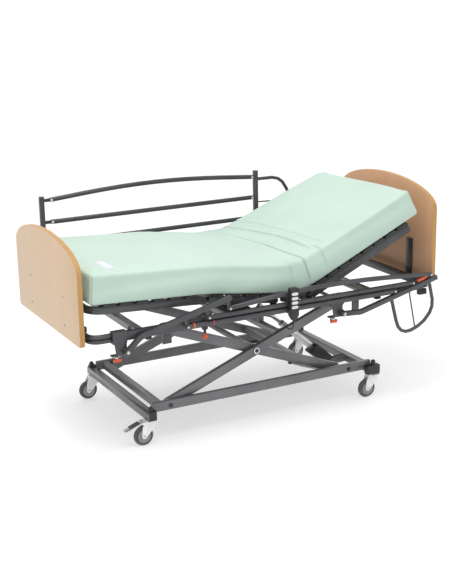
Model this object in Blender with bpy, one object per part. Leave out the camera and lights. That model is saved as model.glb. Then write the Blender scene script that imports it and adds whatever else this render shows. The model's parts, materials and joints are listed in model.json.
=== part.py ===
"""Adjustable homecare bed: scissor-lift trolley on casters, sectioned platform, folding side rails.

Metres, +Z up, +X towards the headboard, -Y is the side with the folded rail and the handset.
Every solid is drawn in "bed" coordinates and then hung under the empty of the body that it moves with.
"""

import math

import bmesh
import bpy
from mathutils import Matrix, Vector

# ---------------------------------------------------------------- driving dimensions
BOARD_THICK = 0.025
BOARD_HALF_WIDTH = 0.437
FOOTBOARD_OUTER_X = -0.996
HEADBOARD_INNER_X = 0.996
FOOTBOARD_Z = (0.568, 0.918)
HEADBOARD_Z = (0.597, 1.002)
FOOTBOARD_RISE = 0.131
HEADBOARD_RISE = 0.130

MATTRESS_HALF_WIDTH = 0.435
MATTRESS_THICK = 0.145

RAIL_HALF_GAUGE = 0.440          # centre of the upper frame's long tubes from the middle
FRAME_TUBE = (0.030, 0.045)      # wide, high
FRAME_Z = (0.577, 0.622)
FRAME_X = (-0.835, 0.930)

SECTION_Y = (0.398, 0.423)       # side tubes of every platform section
HINGE_PLATE_Y = (0.389, 0.3955)
HINGE_PIN_R = 0.006
HINGE_HOLE_R = 0.0068
BACK_HINGE = Vector((0.260, 0.0, 0.640))
THIGH_HINGE = Vector((0.050, 0.0, 0.640))
BACK_ANGLE = math.radians(24.4)
THIGH_ANGLE = math.radians(7.8)
LEG_ANGLE = math.radians(3.1)
THIGH_LENGTH = 0.400
LEG_LENGTH = 0.598
BACK_LENGTH = 0.7275

CASTER_FOOT_X = -0.635
CASTER_HEAD_X = 0.672
CASTER_HALF_TRACK = 0.369
WHEEL_R = 0.050
CASTER_TRAIL = 0.037

BEAM_SIZE = (0.045, 0.040)       # along X, along Z
BEAM_Z = (0.128, 0.168)
BEAM_HALF_LENGTH = 0.405
BASE_RAIL_Y = (0.347, 0.372)
BASE_RAIL_Z = (0.156, 0.205)

OUTER_PIVOT = Vector((-0.520, 0.0, 0.178))
SCISSOR_RUN = 0.996
SCISSOR_RISE = 0.378
OUTER_ARM_Y = (0.319, 0.344)
INNER_ARM_Y = (0.289, 0.314)
ARM_DEPTH = 0.048
ROLLER_R = 0.0192

LIFT_Y = -0.120
LIFT_FOOT = Vector((0.565, LIFT_Y, 0.140))
LIFT_HEAD = Vector((0.130, LIFT_Y, 0.517))
BACK_DRIVE_Y = 0.150
THIGH_DRIVE_Y = 0.020
CRANK = 0.100

SIDE_RAIL_Y = 0.485
SIDE_RAIL_FOOT_X = -0.785
SIDE_RAIL_HEAD_X = 0.410
SIDE_RAIL_Z = 0.532
SIDE_RAIL_FOLD = math.radians(76.0)
BAR_HEIGHTS = (0.321, 0.438, 0.555)
BAR_PIVOT_X = 0.005
BAR_R = 0.0125
BAR_ARCH = 0.034

HANDSET_X = (0.072, 0.120)
HANDSET_Y = (-0.5285, -0.5005)
HANDSET_Z = (0.552, 0.722)
BUTTON_ROWS = (0.692, 0.669, 0.647, 0.624)
BUTTON_SIZE = (0.0365, 0.0150)
BUTTON_Y = (-0.5312, -0.5272)

GAP = 0.0003
NEAR, FAR = -1.0, 1.0
PIN_END = 0.0135

BED_ORIGIN = Vector((
    (FOOTBOARD_OUTER_X + HEADBOARD_INNER_X + BOARD_THICK) / 2,
    (BUTTON_Y[0] + SIDE_RAIL_Y + PIN_END) / 2,
    0.0,
))

BODIES = {}


# ---------------------------------------------------------------- solids as meshes
def mesh_of(bm, name="solid"):
    """Close a bmesh into a mesh with its faces turned out."""
    bmesh.ops.recalc_face_normals(bm, faces=bm.faces)
    mesh = bpy.data.meshes.new(name)
    bm.to_mesh(mesh)
    bm.free()
    return mesh


def box(low, high):
    bm = bmesh.new()
    bmesh.ops.create_cube(bm, size=1.0)
    size = Vector(high) - Vector(low)
    middle = (Vector(high) + Vector(low)) / 2
    bmesh.ops.transform(bm, matrix=Matrix.Translation(middle) @ Matrix.Diagonal(size).to_4x4(),
                        verts=bm.verts)
    return mesh_of(bm)


def rod(start, end, radius, sides=16):
    start, end = Vector(start), Vector(end)
    bm = bmesh.new()
    bmesh.ops.create_cone(bm, cap_ends=True, segments=sides, radius1=radius, radius2=radius,
                          depth=(end - start).length)
    turn = (end - start).to_track_quat("Z", "Y").to_matrix().to_4x4()
    bmesh.ops.transform(bm, matrix=Matrix.Translation((start + end) / 2) @ turn, verts=bm.verts)
    return mesh_of(bm)


def plate(outline, y_low, y_high):
    """A flat plate: an outline of (x, z) points extruded along Y."""
    bm = bmesh.new()
    face = bm.faces.new([bm.verts.new((x, y_low, z)) for x, z in outline])
    grown = bmesh.ops.extrude_face_region(bm, geom=[face])
    moved = [item for item in grown["geom"] if isinstance(item, bmesh.types.BMVert)]
    bmesh.ops.translate(bm, vec=(0, y_high - y_low, 0), verts=moved)
    return mesh_of(bm)


def arc(centre, radius, start, end, steps):
    """Points (a, b) along an arc, angles in degrees."""
    angles = [math.radians(start + (end - start) * i / steps) for i in range(steps + 1)]
    return [(centre[0] + radius * math.cos(a), centre[1] + radius * math.sin(a)) for a in angles]


def link(start, end, width, y_low, y_high, steps=6):
    """A flat link with round ends about two (x, z) points."""
    along = math.degrees(math.atan2(end[1] - start[1], end[0] - start[0]))
    outline = arc(end, width / 2, along - 90, along + 90, steps)
    outline += arc(start, width / 2, along + 90, along + 270, steps)
    return plate(outline, y_low, y_high)


def rounded(width, height, radius, steps=2):
    """A rounded rectangle about the origin, as a sweep profile."""
    outline = []
    for index, (sx, sz) in enumerate(((1, 1), (-1, 1), (-1, -1), (1, -1))):
        corner = (sx * (width / 2 - radius), sz * (height / 2 - radius))
        outline += arc(corner, radius, 90 * index, 90 * index + 90, steps)
    return outline


def circle(radius, sides=12):
    angles = [math.tau * i / sides for i in range(sides)]
    return [(radius * math.cos(a), radius * math.sin(a)) for a in angles]


def sweep(path, profile, across, tip=1.0):
    """Sweep a profile along a flat path square to `across`, its end rings scaled by `tip`."""
    path = [Vector(point) for point in path]
    across = Vector(across)
    bm = bmesh.new()
    rings = []
    for index, point in enumerate(path):
        before = path[max(index - 1, 0)]
        after = path[min(index + 1, len(path) - 1)]
        tangent = (after - before).normalized()
        up = tangent.cross(across).normalized()
        scale = tip if index in (0, len(path) - 1) else 1.0
        rings.append([bm.verts.new(point + (across * a + up * b) * scale) for a, b in profile])
    for ring, following in zip(rings, rings[1:]):
        for k in range(len(profile)):
            m = (k + 1) % len(profile)
            bm.faces.new((ring[k], ring[m], following[m], following[k]))
    bm.faces.new(rings[0])
    bm.faces.new(rings[-1])
    return mesh_of(bm)


def turned(profile, axis_point, sides=20):
    """Turn a closed outline of (radius, y) points about a Y axis through axis_point."""
    bm = bmesh.new()
    rings = []
    for step in range(sides):
        angle = math.tau * step / sides
        out = Vector((math.cos(angle), 0, math.sin(angle)))
        rings.append([bm.verts.new(axis_point + out * r + Vector((0, y, 0))) for r, y in profile])
    for ring, following in zip(rings, rings[1:] + rings[:1]):
        for k in range(len(profile)):
            m = (k + 1) % len(profile)
            bm.faces.new((ring[k], ring[m], following[m], following[k]))
    return mesh_of(bm)


def helper(mesh):
    obj = bpy.data.objects.new("helper", mesh)
    obj.hide_render = True
    obj.display_type = "WIRE"
    bpy.context.scene.collection.objects.link(obj)
    return obj


def welded(solids, cuts=()):
    """Join solids into one closed mesh and cut others out of it."""
    base = helper(solids[0])
    others = [(helper(mesh), "UNION") for mesh in solids[1:]]
    others += [(helper(mesh), "DIFFERENCE") for mesh in cuts]
    for other, operation in others:
        modifier = base.modifiers.new(operation.title(), "BOOLEAN")
        modifier.operation = operation
        modifier.object = other
    graph = bpy.context.evaluated_depsgraph_get()
    mesh = bpy.data.meshes.new_from_object(base.evaluated_get(graph))
    for obj in [base] + [other for other, _ in others]:
        bpy.data.objects.remove(obj)
    return mesh


# ---------------------------------------------------------------- bodies, materials, nodes
def body(name, pivot, parent=None):
    """An empty on the body's joint axis, hung under its parent body."""
    empty = bpy.data.objects.new("axis_" + name, None)
    bpy.context.scene.collection.objects.link(empty)
    empty.empty_display_size = 0.05
    pivot = Vector(pivot)
    if parent is None:
        empty.location = pivot - BED_ORIGIN
    else:
        empty.parent = BODIES[parent][0]
        empty.location = pivot - BODIES[parent][1]
    BODIES[name] = (empty, pivot)


def material(name, colour, roughness, metallic=0.0):
    found = bpy.data.materials.get(name)
    if found:
        return found
    made = bpy.data.materials.new(name)
    made.use_nodes = True
    made.diffuse_color = (*colour, 1.0)
    shader = made.node_tree.nodes["Principled BSDF"]
    shader.inputs["Base Color"].default_value = (*colour, 1.0)
    shader.inputs["Roughness"].default_value = roughness
    shader.inputs["Metallic"].default_value = metallic
    return made


def grey_paint():
    return material("grey_powder_coat", (0.11, 0.115, 0.12), 0.45, 0.3)


def black_paint():
    return material("black_powder_coat", (0.02, 0.02, 0.022), 0.5, 0.2)


def bright_steel():
    return material("bright_steel", (0.72, 0.73, 0.75), 0.3, 1.0)


def black_plastic():
    return material("black_plastic", (0.015, 0.015, 0.017), 0.45)


def grey_plastic():
    return material("grey_plastic", (0.75, 0.76, 0.78), 0.4)


def orange_plastic():
    return material("orange_plastic", (0.80, 0.16, 0.03), 0.4)


def beech():
    return material("beech", (0.62, 0.42, 0.28), 0.5)


def tyre_rubber():
    return material("tyre_rubber", (0.05, 0.05, 0.055), 0.6)


def mint_cover():
    return material("mint_cover", (0.62, 0.86, 0.74), 0.6)


def slat_wood():
    return material("slat_lacquer", (0.05, 0.05, 0.05), 0.5)


def node(name, mesh, body_name, look):
    """Put a mesh drawn in bed coordinates on its body, with its origin on the body's joint axis."""
    empty, pivot = BODIES[body_name]
    mesh.transform(Matrix.Translation(-pivot))
    mesh.name = name
    mesh.materials.clear()
    mesh.materials.append(look)
    mesh.shade_smooth()
    mesh.set_sharp_from_angle(angle=math.radians(40))
    obj = bpy.data.objects.new(name, mesh)
    bpy.context.scene.collection.objects.link(obj)
    obj.parent = empty


# ---------------------------------------------------------------- base trolley
def end_beam(x):
    profile = rounded(BEAM_SIZE[0], BEAM_SIZE[1], 0.004)
    z = sum(BEAM_Z) / 2
    return sweep([(x, -BEAM_HALF_LENGTH, z), (x, BEAM_HALF_LENGTH, z)],
                 [(b, a) for a, b in profile], (0, 0, 1))


def base_rail(side):
    y = side * sum(BASE_RAIL_Y) / 2
    z = sum(BASE_RAIL_Z) / 2
    inset = BEAM_SIZE[0] / 2 - 0.008
    path = [(CASTER_FOOT_X + inset, y, z), (CASTER_HEAD_X - inset, y, z)]
    return sweep(path, rounded(BASE_RAIL_Y[1] - BASE_RAIL_Y[0], BASE_RAIL_Z[1] - BASE_RAIL_Z[0], 0.004),
                 (0, 1, 0))


def base_roller_track(side):
    y = sorted((side * 0.322, side * 0.360))
    return box((0.300, y[0], 0.1535), (0.600, y[1], 0.1583))


def lift_motor_lugs():
    """Two plates from the head beam that carry the lift drive's lower pin."""
    outline = [(0.652, 0.130), (0.652, 0.164), (0.600, 0.164)]
    outline += arc((LIFT_FOOT.x, LIFT_FOOT.z), 0.016, 80, 280, 8)
    plates = [plate(outline, LIFT_Y + low, LIFT_Y + low + 0.006) for low in (-0.016, 0.010)]
    pin = rod((LIFT_FOOT.x, LIFT_Y - 0.018, LIFT_FOOT.z), (LIFT_FOOT.x, LIFT_Y + 0.018, LIFT_FOOT.z),
              HINGE_PIN_R)
    return plates + [pin]


def make_base():
    body("base", (0, 0, 0))
    solids = [end_beam(CASTER_FOOT_X), end_beam(CASTER_HEAD_X), base_rail(NEAR), base_rail(FAR)]
    solids += [base_roller_track(NEAR), base_roller_track(FAR)]
    solids.append(box((-0.588, -0.350, 0.162), (-0.558, 0.350, 0.200)))
    solids += lift_motor_lugs()
    holes = [rod((OUTER_PIVOT.x, side * 0.340, OUTER_PIVOT.z), (OUTER_PIVOT.x, side * 0.380, OUTER_PIVOT.z),
                 0.0109)
             for side in (NEAR, FAR)]
    node("base_frame", welded(solids, holes), "base", grey_paint())


def caster_fork(x, y, braked):
    """Bridge plate, two cheeks and the wheel's axle."""
    axle = (x - CASTER_TRAIL, WHEEL_R)
    top = BEAM_Z[0] - GAP
    outline = [(x + 0.024, top), (x - 0.030, top), (x - 0.046, 0.096)]
    outline += arc(axle, 0.013, 170, 340, 6)
    outline += [(x + 0.020, 0.092)]
    cheeks = [plate(outline, y + side * 0.0165 - 0.0015, y + side * 0.0165 + 0.0015)
              for side in (NEAR, FAR)]
    bridge = box((x - 0.029, y - 0.017, top - 0.018), (x + 0.023, y + 0.017, top - 0.001))
    pin = rod((axle[0], y - 0.0195, axle[1]), (axle[0], y + 0.0195, axle[1]), 0.005, 12)
    solids = [bridge, pin] + cheeks
    if braked:
        hub = (x - 0.046, 0.1195)
        solids += [link((x - 0.026, 0.1195), hub, 0.011, y + side * 0.0235 - 0.002,
                        y + side * 0.0235 + 0.002, 4)
                   for side in (NEAR, FAR)]
        solids += [box((x - 0.028, y - 0.024, 0.1155), (x - 0.020, y + 0.024, 0.1235)),
                   rod((hub[0], y - 0.0250, hub[1]), (hub[0], y + 0.0250, hub[1]), 0.003, 10)]
    return welded(solids)


def caster_wheel(x, y):
    half = [(0.0057, 0.0140), (0.0130, 0.0140), (0.0150, 0.0090), (0.0360, 0.0090), (0.0390, 0.0115),
            (0.0470, 0.0110), (WHEEL_R, 0.0060)]
    outline = half + [(r, -w) for r, w in reversed(half)]
    return turned(outline, Vector((x - CASTER_TRAIL, y, WHEEL_R)))


def brake_pedal(x, y):
    hub = (x - 0.046, 0.1195)
    arm = [(hub[0] - 0.003, hub[1] + 0.004), (x - 0.110, 0.1010), (x - 0.136, 0.0930), (x - 0.136, 0.0870),
           (x - 0.110, 0.0950), (hub[0] - 0.003, hub[1] - 0.004)]
    lever = plate(arm, y - 0.019, y + 0.019)
    boss = rod((hub[0], y - 0.0208, hub[1]), (hub[0], y + 0.0208, hub[1]), 0.0065, 14)
    bore = rod((hub[0], y - 0.0300, hub[1]), (hub[0], y + 0.0300, hub[1]), 0.0037, 12)
    return welded([boss, lever], [bore])


def make_casters():
    for end, x in (("foot", CASTER_FOOT_X), ("head", CASTER_HEAD_X)):
        for flank, side in (("near", NEAR), ("far", FAR)):
            y = side * CASTER_HALF_TRACK
            place = f"{end}_{flank}"
            braked = place == "foot_near"
            body("caster_" + place, (x, y, 0.110), "base")
            node("caster_fork_" + place, caster_fork(x, y, braked), "caster_" + place, bright_steel())
            body("wheel_" + place, (x - CASTER_TRAIL, y, WHEEL_R), "caster_" + place)
            node("caster_wheel_" + place, caster_wheel(x, y), "wheel_" + place, tyre_rubber())
            if braked:
                body("brake", (x - 0.046, y, 0.1195), "caster_" + place)
                node("brake_pedal", brake_pedal(x, y), "brake", bright_steel())


# ---------------------------------------------------------------- scissor
def scissor_points():
    """(x, z) of the lower outer pivot, the centre, and the three other ends."""
    low = (OUTER_PIVOT.x, OUTER_PIVOT.z)
    centre = (low[0] + SCISSOR_RUN / 2, low[1] + SCISSOR_RISE / 2)
    head_top = (low[0] + SCISSOR_RUN, low[1] + SCISSOR_RISE)
    foot_top = (low[0], low[1] + SCISSOR_RISE)
    head_low = (low[0] + SCISSOR_RUN, low[1])
    return low, centre, head_top, foot_top, head_low


def across(point, y_low, y_high, radius, sides=16):
    """A rod along Y at an (x, z) point."""
    return rod((point[0], y_low, point[1]), (point[0], y_high, point[1]), radius, sides)


def both_sides(make):
    return [make(side) for side in (NEAR, FAR)]


def scissor_arms(start, end, y_range):
    low, high = y_range
    return both_sides(lambda side: link(start, end, ARM_DEPTH, *sorted((side * low, side * high))))


def make_outer_scissor():
    low, centre, head_top, _, _ = scissor_points()
    body("scissor_outer", OUTER_PIVOT, "base")
    arms = scissor_arms(low, head_top, OUTER_ARM_Y)
    stubs = both_sides(lambda side: across(low, side * 0.330, side * 0.3745, 0.010))
    axle = across(head_top, -0.350, 0.350, 0.010)
    rollers = both_sides(lambda side: across(head_top, side * 0.3473, side * 0.3660, ROLLER_R, 20))
    slope = SCISSOR_RISE / SCISSOR_RUN
    tie_z = OUTER_PIVOT.z + (LIFT_HEAD.x - OUTER_PIVOT.x) * slope
    tie = box((LIFT_HEAD.x - 0.015, -0.325, tie_z - 0.015), (LIFT_HEAD.x + 0.015, 0.325, tie_z + 0.015))
    lug = link((LIFT_HEAD.x, tie_z), (LIFT_HEAD.x, LIFT_HEAD.z), 0.030, LIFT_Y - 0.006, LIFT_Y + 0.006)
    pin = across((LIFT_HEAD.x, LIFT_HEAD.z), LIFT_Y - 0.0145, LIFT_Y + 0.0145, HINGE_PIN_R)
    holes = both_sides(lambda side: across(centre, side * 0.310, side * 0.350, 0.0170, 20))
    solids = arms + stubs + [axle] + rollers + [tie, lug, pin]
    node("scissor_outer_frame", welded(solids, holes), "scissor_outer", grey_paint())


def make_inner_scissor():
    _, centre, _, foot_top, head_low = scissor_points()
    body("scissor_inner", (centre[0], 0, centre[1]), "scissor_outer")
    arms = scissor_arms(foot_top, head_low, INNER_ARM_Y)
    shaft = across(centre, -0.3465, 0.3465, 0.0160, 20)
    stubs = both_sides(lambda side: across(foot_top, side * 0.300, side * 0.3580, 0.010))
    axles = both_sides(lambda side: across(head_low, side * 0.300, side * 0.3300, 0.010))
    rollers = both_sides(lambda side: across(head_low, side * 0.3240, side * 0.3460, ROLLER_R, 20))
    reach = 0.300
    along = Vector((SCISSOR_RUN, 0, -SCISSOR_RISE)).normalized()
    tie_x, tie_z = centre[0] + along.x * reach, centre[1] + along.z * reach
    tie = box((tie_x - 0.014, -0.295, tie_z - 0.014), (tie_x + 0.014, 0.295, tie_z + 0.014))
    solids = arms + [shaft] + stubs + axles + rollers + [tie]
    track_clearance = box((head_low[0] - 0.045, -0.316, 0.140), (head_low[0] + 0.045, 0.316, 0.1587))
    node("scissor_inner_frame", welded(solids, [track_clearance]), "scissor_inner", grey_paint())
    make_curly_cord(Vector((centre[0], 0, centre[1])), along)


def make_curly_cord(centre, along):
    """Curly lead to the lift drive, clipped under the near inner arm, as one tube of its outer diameter."""
    down = Vector((along.z, 0, -along.x))
    y = -sum(INNER_ARM_Y) / 2
    cord_r = 0.006
    seat = ARM_DEPTH / 2 + GAP + cord_r
    length = 0.208
    points = []
    for step in range(25):
        share = step / 24
        sag = 0.002 * math.sin(math.pi * share) ** 2
        points.append(centre + along * (0.248 + length * share) + down * (seat + sag) + Vector((0, y, 0)))
    node("lift_cord", sweep(points, circle(cord_r, 10), (0, 1, 0)), "scissor_inner", black_plastic())


# ---------------------------------------------------------------- lift drive
def along_lift(distance, offset=0.0):
    """(x, z) at a distance from the drive's lower pin, offset square to its axis."""
    way = (LIFT_HEAD - LIFT_FOOT).normalized()
    square = Vector((way.z, 0, -way.x))
    point = LIFT_FOOT + way * distance + square * offset
    return (point.x, point.z)


def lift_point(distance):
    x, z = along_lift(distance)
    return (x, LIFT_Y, z)


def make_lift_drive():
    reach = (LIFT_HEAD - LIFT_FOOT).length
    housing_end, tube_end = 0.160, 0.416
    body("lift_motor", LIFT_FOOT, "base")
    lug = link(along_lift(0), along_lift(0.050), 0.026, LIFT_Y - 0.0095, LIFT_Y + 0.0095)
    case = [along_lift(0.030, -0.030), along_lift(0.045, -0.036), along_lift(housing_end, -0.036),
            along_lift(housing_end, 0.026), along_lift(0.040, 0.026), along_lift(0.030, 0.020)]
    hole = across(along_lift(0), LIFT_Y - 0.020, LIFT_Y + 0.020, HINGE_HOLE_R)
    housing = welded([plate(case, LIFT_Y - 0.034, LIFT_Y + 0.034), lug], [hole])
    node("lift_motor_housing", housing, "lift_motor", black_plastic())
    outer = rod(lift_point(housing_end + GAP), lift_point(tube_end), 0.018, 20)
    bore = rod(lift_point(housing_end + 0.006), lift_point(tube_end + 0.010), 0.0118, 16)
    node("lift_outer_tube", welded([outer], [bore]), "lift_motor", bright_steel())

    body("lift_rod", LIFT_HEAD, "lift_motor")
    shank = rod(lift_point(0.280), lift_point(reach - 0.048), 0.0108, 14)
    bridge = [along_lift(reach - 0.052, -0.014), along_lift(reach - 0.034, -0.014),
              along_lift(reach - 0.034, 0.014), along_lift(reach - 0.052, 0.014)]
    cheek = [along_lift(reach - 0.050, -0.012), along_lift(reach - 0.024, -0.031),
             along_lift(reach + 0.017, -0.031),
             along_lift(reach + 0.017, 0.015), along_lift(reach - 0.024, 0.015),
             along_lift(reach - 0.050, 0.012)]
    cheeks = [plate(cheek, LIFT_Y + low, LIFT_Y + low + 0.007) for low in (-0.0137, 0.0067)]
    slot = link(along_lift(reach + 0.0024, -0.016), along_lift(reach + 0.0024, 0.001), 0.0184,
                LIFT_Y - 0.020, LIFT_Y + 0.020)
    fork = welded([shank, plate(bridge, LIFT_Y - 0.0130, LIFT_Y + 0.0130)] + cheeks, [slot])
    node("lift_push_rod", fork, "lift_rod", bright_steel())


# ---------------------------------------------------------------- upper frame
def frame_rail(side):
    z = sum(FRAME_Z) / 2
    y = side * RAIL_HALF_GAUGE
    return sweep([(FRAME_X[0], y, z), (FRAME_X[1], y, z)], rounded(*FRAME_TUBE, 0.005), (0, 1, 0))


def side_box(side, x, y, z):
    """A box given by ranges, with its Y range mirrored to the side."""
    low, high = sorted((side * y[0], side * y[1]))
    return box((x[0], low, z[0]), (x[1], high, z[1]))


def hinge_plate(side, hinge):
    """Plate with the pin that a platform section turns on."""
    upright = side_box(side, (hinge.x - 0.018, hinge.x + 0.018), HINGE_PLATE_Y, (0.590, hinge.z + 0.012))
    foot = side_box(side, (hinge.x - 0.014, hinge.x + 0.014),
                    (HINGE_PLATE_Y[0] + 0.001, RAIL_HALF_GAUGE - 0.013),
                    (0.588, 0.606))
    pin = across((hinge.x, hinge.z), side * (HINGE_PLATE_Y[0] + 0.001), side * (SECTION_Y[1] + 0.002),
                 HINGE_PIN_R)
    return [upright, foot, pin]


def frame_flank(side):
    """What the upper frame carries on one side: roller track, pivot plates, seat tube, hinges."""
    inner_edge = RAIL_HALF_GAUGE - 0.013
    parts = [
        frame_rail(side),
        side_box(side, (0.300, 0.640), (0.347, 0.370), (0.5765, 0.6000)),
        side_box(side, (0.302, 0.328), (0.350, inner_edge), (0.5800, 0.5980)),
        side_box(side, (0.5360, 0.5780), (0.3675, 0.3735), (0.4970, 0.5990)),
        side_box(side, (-0.545, -0.497), (0.3500, 0.3560), (0.4920, 0.6010)),
        side_box(side, (-0.543, -0.499), (0.3510, inner_edge), (0.5830, 0.5995)),
        side_box(side, (0.085, 0.225), SECTION_Y, (0.6275, 0.6620)),
    ]
    for x in (0.100, 0.195):
        parts.append(side_box(side, (x, x + 0.020), (0.415, RAIL_HALF_GAUGE - 0.002), (0.6050, 0.6350)))
    return parts + hinge_plate(side, BACK_HINGE) + hinge_plate(side, THIGH_HINGE)


def drive_rail():
    """Lengthwise rail between the cross members, with a plate over each drive's housing."""
    y_low, y_high = 0.0700, 0.1000
    rail = box((-0.210, y_low, 0.5840), (0.630, y_high, 0.6080))
    back = box((-0.205, 0.080, 0.5795), (-0.165, BACK_DRIVE_Y + 0.030, 0.5860))
    legs = box((0.275, THIGH_DRIVE_Y - 0.030, 0.5795), (0.315, 0.090, 0.5860))
    return [rail, back, legs]


def make_upper_frame():
    _, _, _, foot_top, _ = scissor_points()
    body("bed_frame", (foot_top[0], 0, foot_top[1]), "scissor_inner")
    solids = frame_flank(NEAR) + frame_flank(FAR)
    for x in (-0.690, -0.200, 0.620):
        solids.append(box((x - 0.020, -0.430, 0.582), (x + 0.020, 0.430, 0.612)))
    solids += drive_rail()
    holes = both_sides(lambda side: across(foot_top, side * 0.345, side * 0.362, 0.0109))
    node("upper_frame", welded(solids, holes), "bed_frame", grey_paint())


def carrier_path():
    """Flat U around the foot end of the frame."""
    bend, end_x = 0.050, -0.945
    y = RAIL_HALF_GAUGE
    near = arc((end_x + bend, -y + bend), bend, 270, 180, 6)
    far = arc((end_x + bend, y - bend), bend, 180, 90, 6)
    start = FRAME_X[0] - GAP
    return [(start, -y)] + near + far + [(start, y)]


def make_board_carriers():
    oval = [(0.0117 * math.sin(a), 0.014 * math.cos(a)) for a in (math.tau * i / 12 for i in range(12))]
    tubes = [sweep([(x, y, z) for x, y in carrier_path()], oval, (0, 0, 1)) for z in (0.5887, 0.6103)]
    plates = [box((FOOTBOARD_OUTER_X + BOARD_THICK + GAP, side * 0.250 - 0.024, 0.586),
                  (FOOTBOARD_OUTER_X + BOARD_THICK + 0.007, side * 0.250 + 0.024, 0.800))
              for side in (NEAR, FAR)]
    bridges = [box((FOOTBOARD_OUTER_X + BOARD_THICK + 0.002, side * 0.250 - 0.020, 0.592),
                   (-0.945, side * 0.250 + 0.020, 0.607)) for side in (NEAR, FAR)]
    node("foot_board_carrier", welded(tubes + plates + bridges), "bed_frame", grey_paint())

    cross = sweep([(0.946, -0.452, 0.605), (0.946, 0.452, 0.605)], rounded(0.040, 0.030, 0.004), (0, 0, 1))
    solids = [cross]
    for side in (NEAR, FAR):
        y = side * 0.240
        solids.append(box((0.955, y - 0.014, 0.592), (0.990, y + 0.014, 0.618)))
        solids.append(box((0.9885, y - 0.026, 0.585), (HEADBOARD_INNER_X - GAP, y + 0.026, 0.806)))
    node("head_board_carrier", welded(solids), "bed_frame", black_paint())


def board(z_range, rise, x_low, x_high):
    """A bed end: straight sides, round lower corners and a half-ellipse top."""
    half, corner = BOARD_HALF_WIDTH, 0.022
    outline = arc((-half + corner, z_range[0] + corner), corner, 180, 270, 4)
    outline += arc((half - corner, z_range[0] + corner), corner, 270, 360, 4)
    steps = 24
    outline += [(half * math.cos(math.pi * i / steps), z_range[1] + rise * math.sin(math.pi * i / steps))
                for i in range(steps + 1)]
    bm = bmesh.new()
    face = bm.faces.new([bm.verts.new((x_low, y, z)) for y, z in outline])
    grown = bmesh.ops.extrude_face_region(bm, geom=[face])
    moved = [item for item in grown["geom"] if isinstance(item, bmesh.types.BMVert)]
    bmesh.ops.translate(bm, vec=(x_high - x_low, 0, 0), verts=moved)
    return mesh_of(bm)


def make_boards():
    foot = board(FOOTBOARD_Z, FOOTBOARD_RISE, FOOTBOARD_OUTER_X, FOOTBOARD_OUTER_X + BOARD_THICK)
    node("footboard", foot, "bed_frame", beech())
    head = board(HEADBOARD_Z, HEADBOARD_RISE, HEADBOARD_INNER_X, HEADBOARD_INNER_X + BOARD_THICK)
    node("headboard", head, "bed_frame", beech())


# ---------------------------------------------------------------- platform sections
class Section:
    """A platform section: a length u along it from its hinge and a height v square to it."""

    def __init__(self, hinge, angle, way):
        self.hinge, self.angle, self.way = hinge, angle, way

    def point(self, u, v):
        cos, sin = math.cos(self.angle), math.sin(self.angle)
        return (self.hinge.x + self.way * (u * cos - v * sin), self.hinge.z + u * sin + v * cos)

    def block(self, u, v, y):
        corners = [self.point(a, b) for a, b in ((u[0], v[0]), (u[1], v[0]), (u[1], v[1]), (u[0], v[1]))]
        return plate(corners, *sorted(y))

    def shape(self, corners, y):
        return plate([self.point(u, v) for u, v in corners], *sorted(y))

    def side_tube(self, side, u_end, v, inset=0.0):
        """Tube with a round eye at the hinge."""
        y = (side * (SECTION_Y[0] + inset), side * (SECTION_Y[1] - inset))
        nose = arc((0.0, 0.0), 0.0125, 270, 90, 6)
        corners = [(a, max(min(b, v[1]), v[0])) for a, b in nose]
        corners = [(0.004, v[0])] + corners[1:-1] + [(0.004, v[1]), (u_end, v[1]), (u_end, v[0])]
        return self.shape(corners, y)

    def hinge_hole(self, side):
        return across(self.point(0, 0), side * (SECTION_Y[0] - 0.004), side * (SECTION_Y[1] + 0.004),
                      HINGE_HOLE_R)

    def cross_tube(self, u, v=(-0.0115, 0.0115), width=0.025):
        return self.block((u - width / 2, u + width / 2), v, (-SECTION_Y[0] - 0.004, SECTION_Y[0] + 0.004))

    def slats(self, starts, width, v, half_length=0.428):
        return [self.block((u, u + width), v, (-half_length, half_length)) for u in starts]

    def strips(self, u, v):
        return [self.block(u, v, (side * 0.400, side * 0.429)) for side in (NEAR, FAR)]


def crank(start, pin, y):
    """Lever plate and pin that a drive pushes on."""
    lever = link(start, pin, 0.026, y - 0.004, y + 0.004)
    return [lever, across(pin, y - 0.0105, y + 0.0105, 0.0055, 12)]


def back_crank_pin():
    turn = BACK_ANGLE - math.radians(34.0)
    return (BACK_HINGE.x + CRANK * math.sin(turn), BACK_HINGE.z - CRANK * math.cos(turn))


def thigh_crank_pin():
    turn = THIGH_ANGLE - math.radians(15.0)
    return (THIGH_HINGE.x - CRANK * math.sin(turn), THIGH_HINGE.z - CRANK * math.cos(turn))


def make_back():
    section = Section(BACK_HINGE, BACK_ANGLE, 1)
    body("back_section", BACK_HINGE, "bed_frame")
    tube_v = (-0.020, 0.020)
    solids = both_sides(lambda side: section.side_tube(side, 0.655, tube_v))
    solids += [section.cross_tube(u) for u in (0.055, 0.340, 0.636)]
    solids += crank(section.point(0.055, 0), back_crank_pin(), BACK_DRIVE_Y)
    holes = both_sides(section.hinge_hole)
    node("back_section_frame", welded(solids, holes), "back_section", grey_paint())
    starts = [0.045 + 0.077 * i for i in range(8)]
    slats = section.slats(starts, 0.056, (0.0345, 0.0445))
    slats += section.strips((0.034, 0.652), (0.020 + GAP, 0.036))
    node("back_slats", welded(slats), "back_section", slat_wood())


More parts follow.
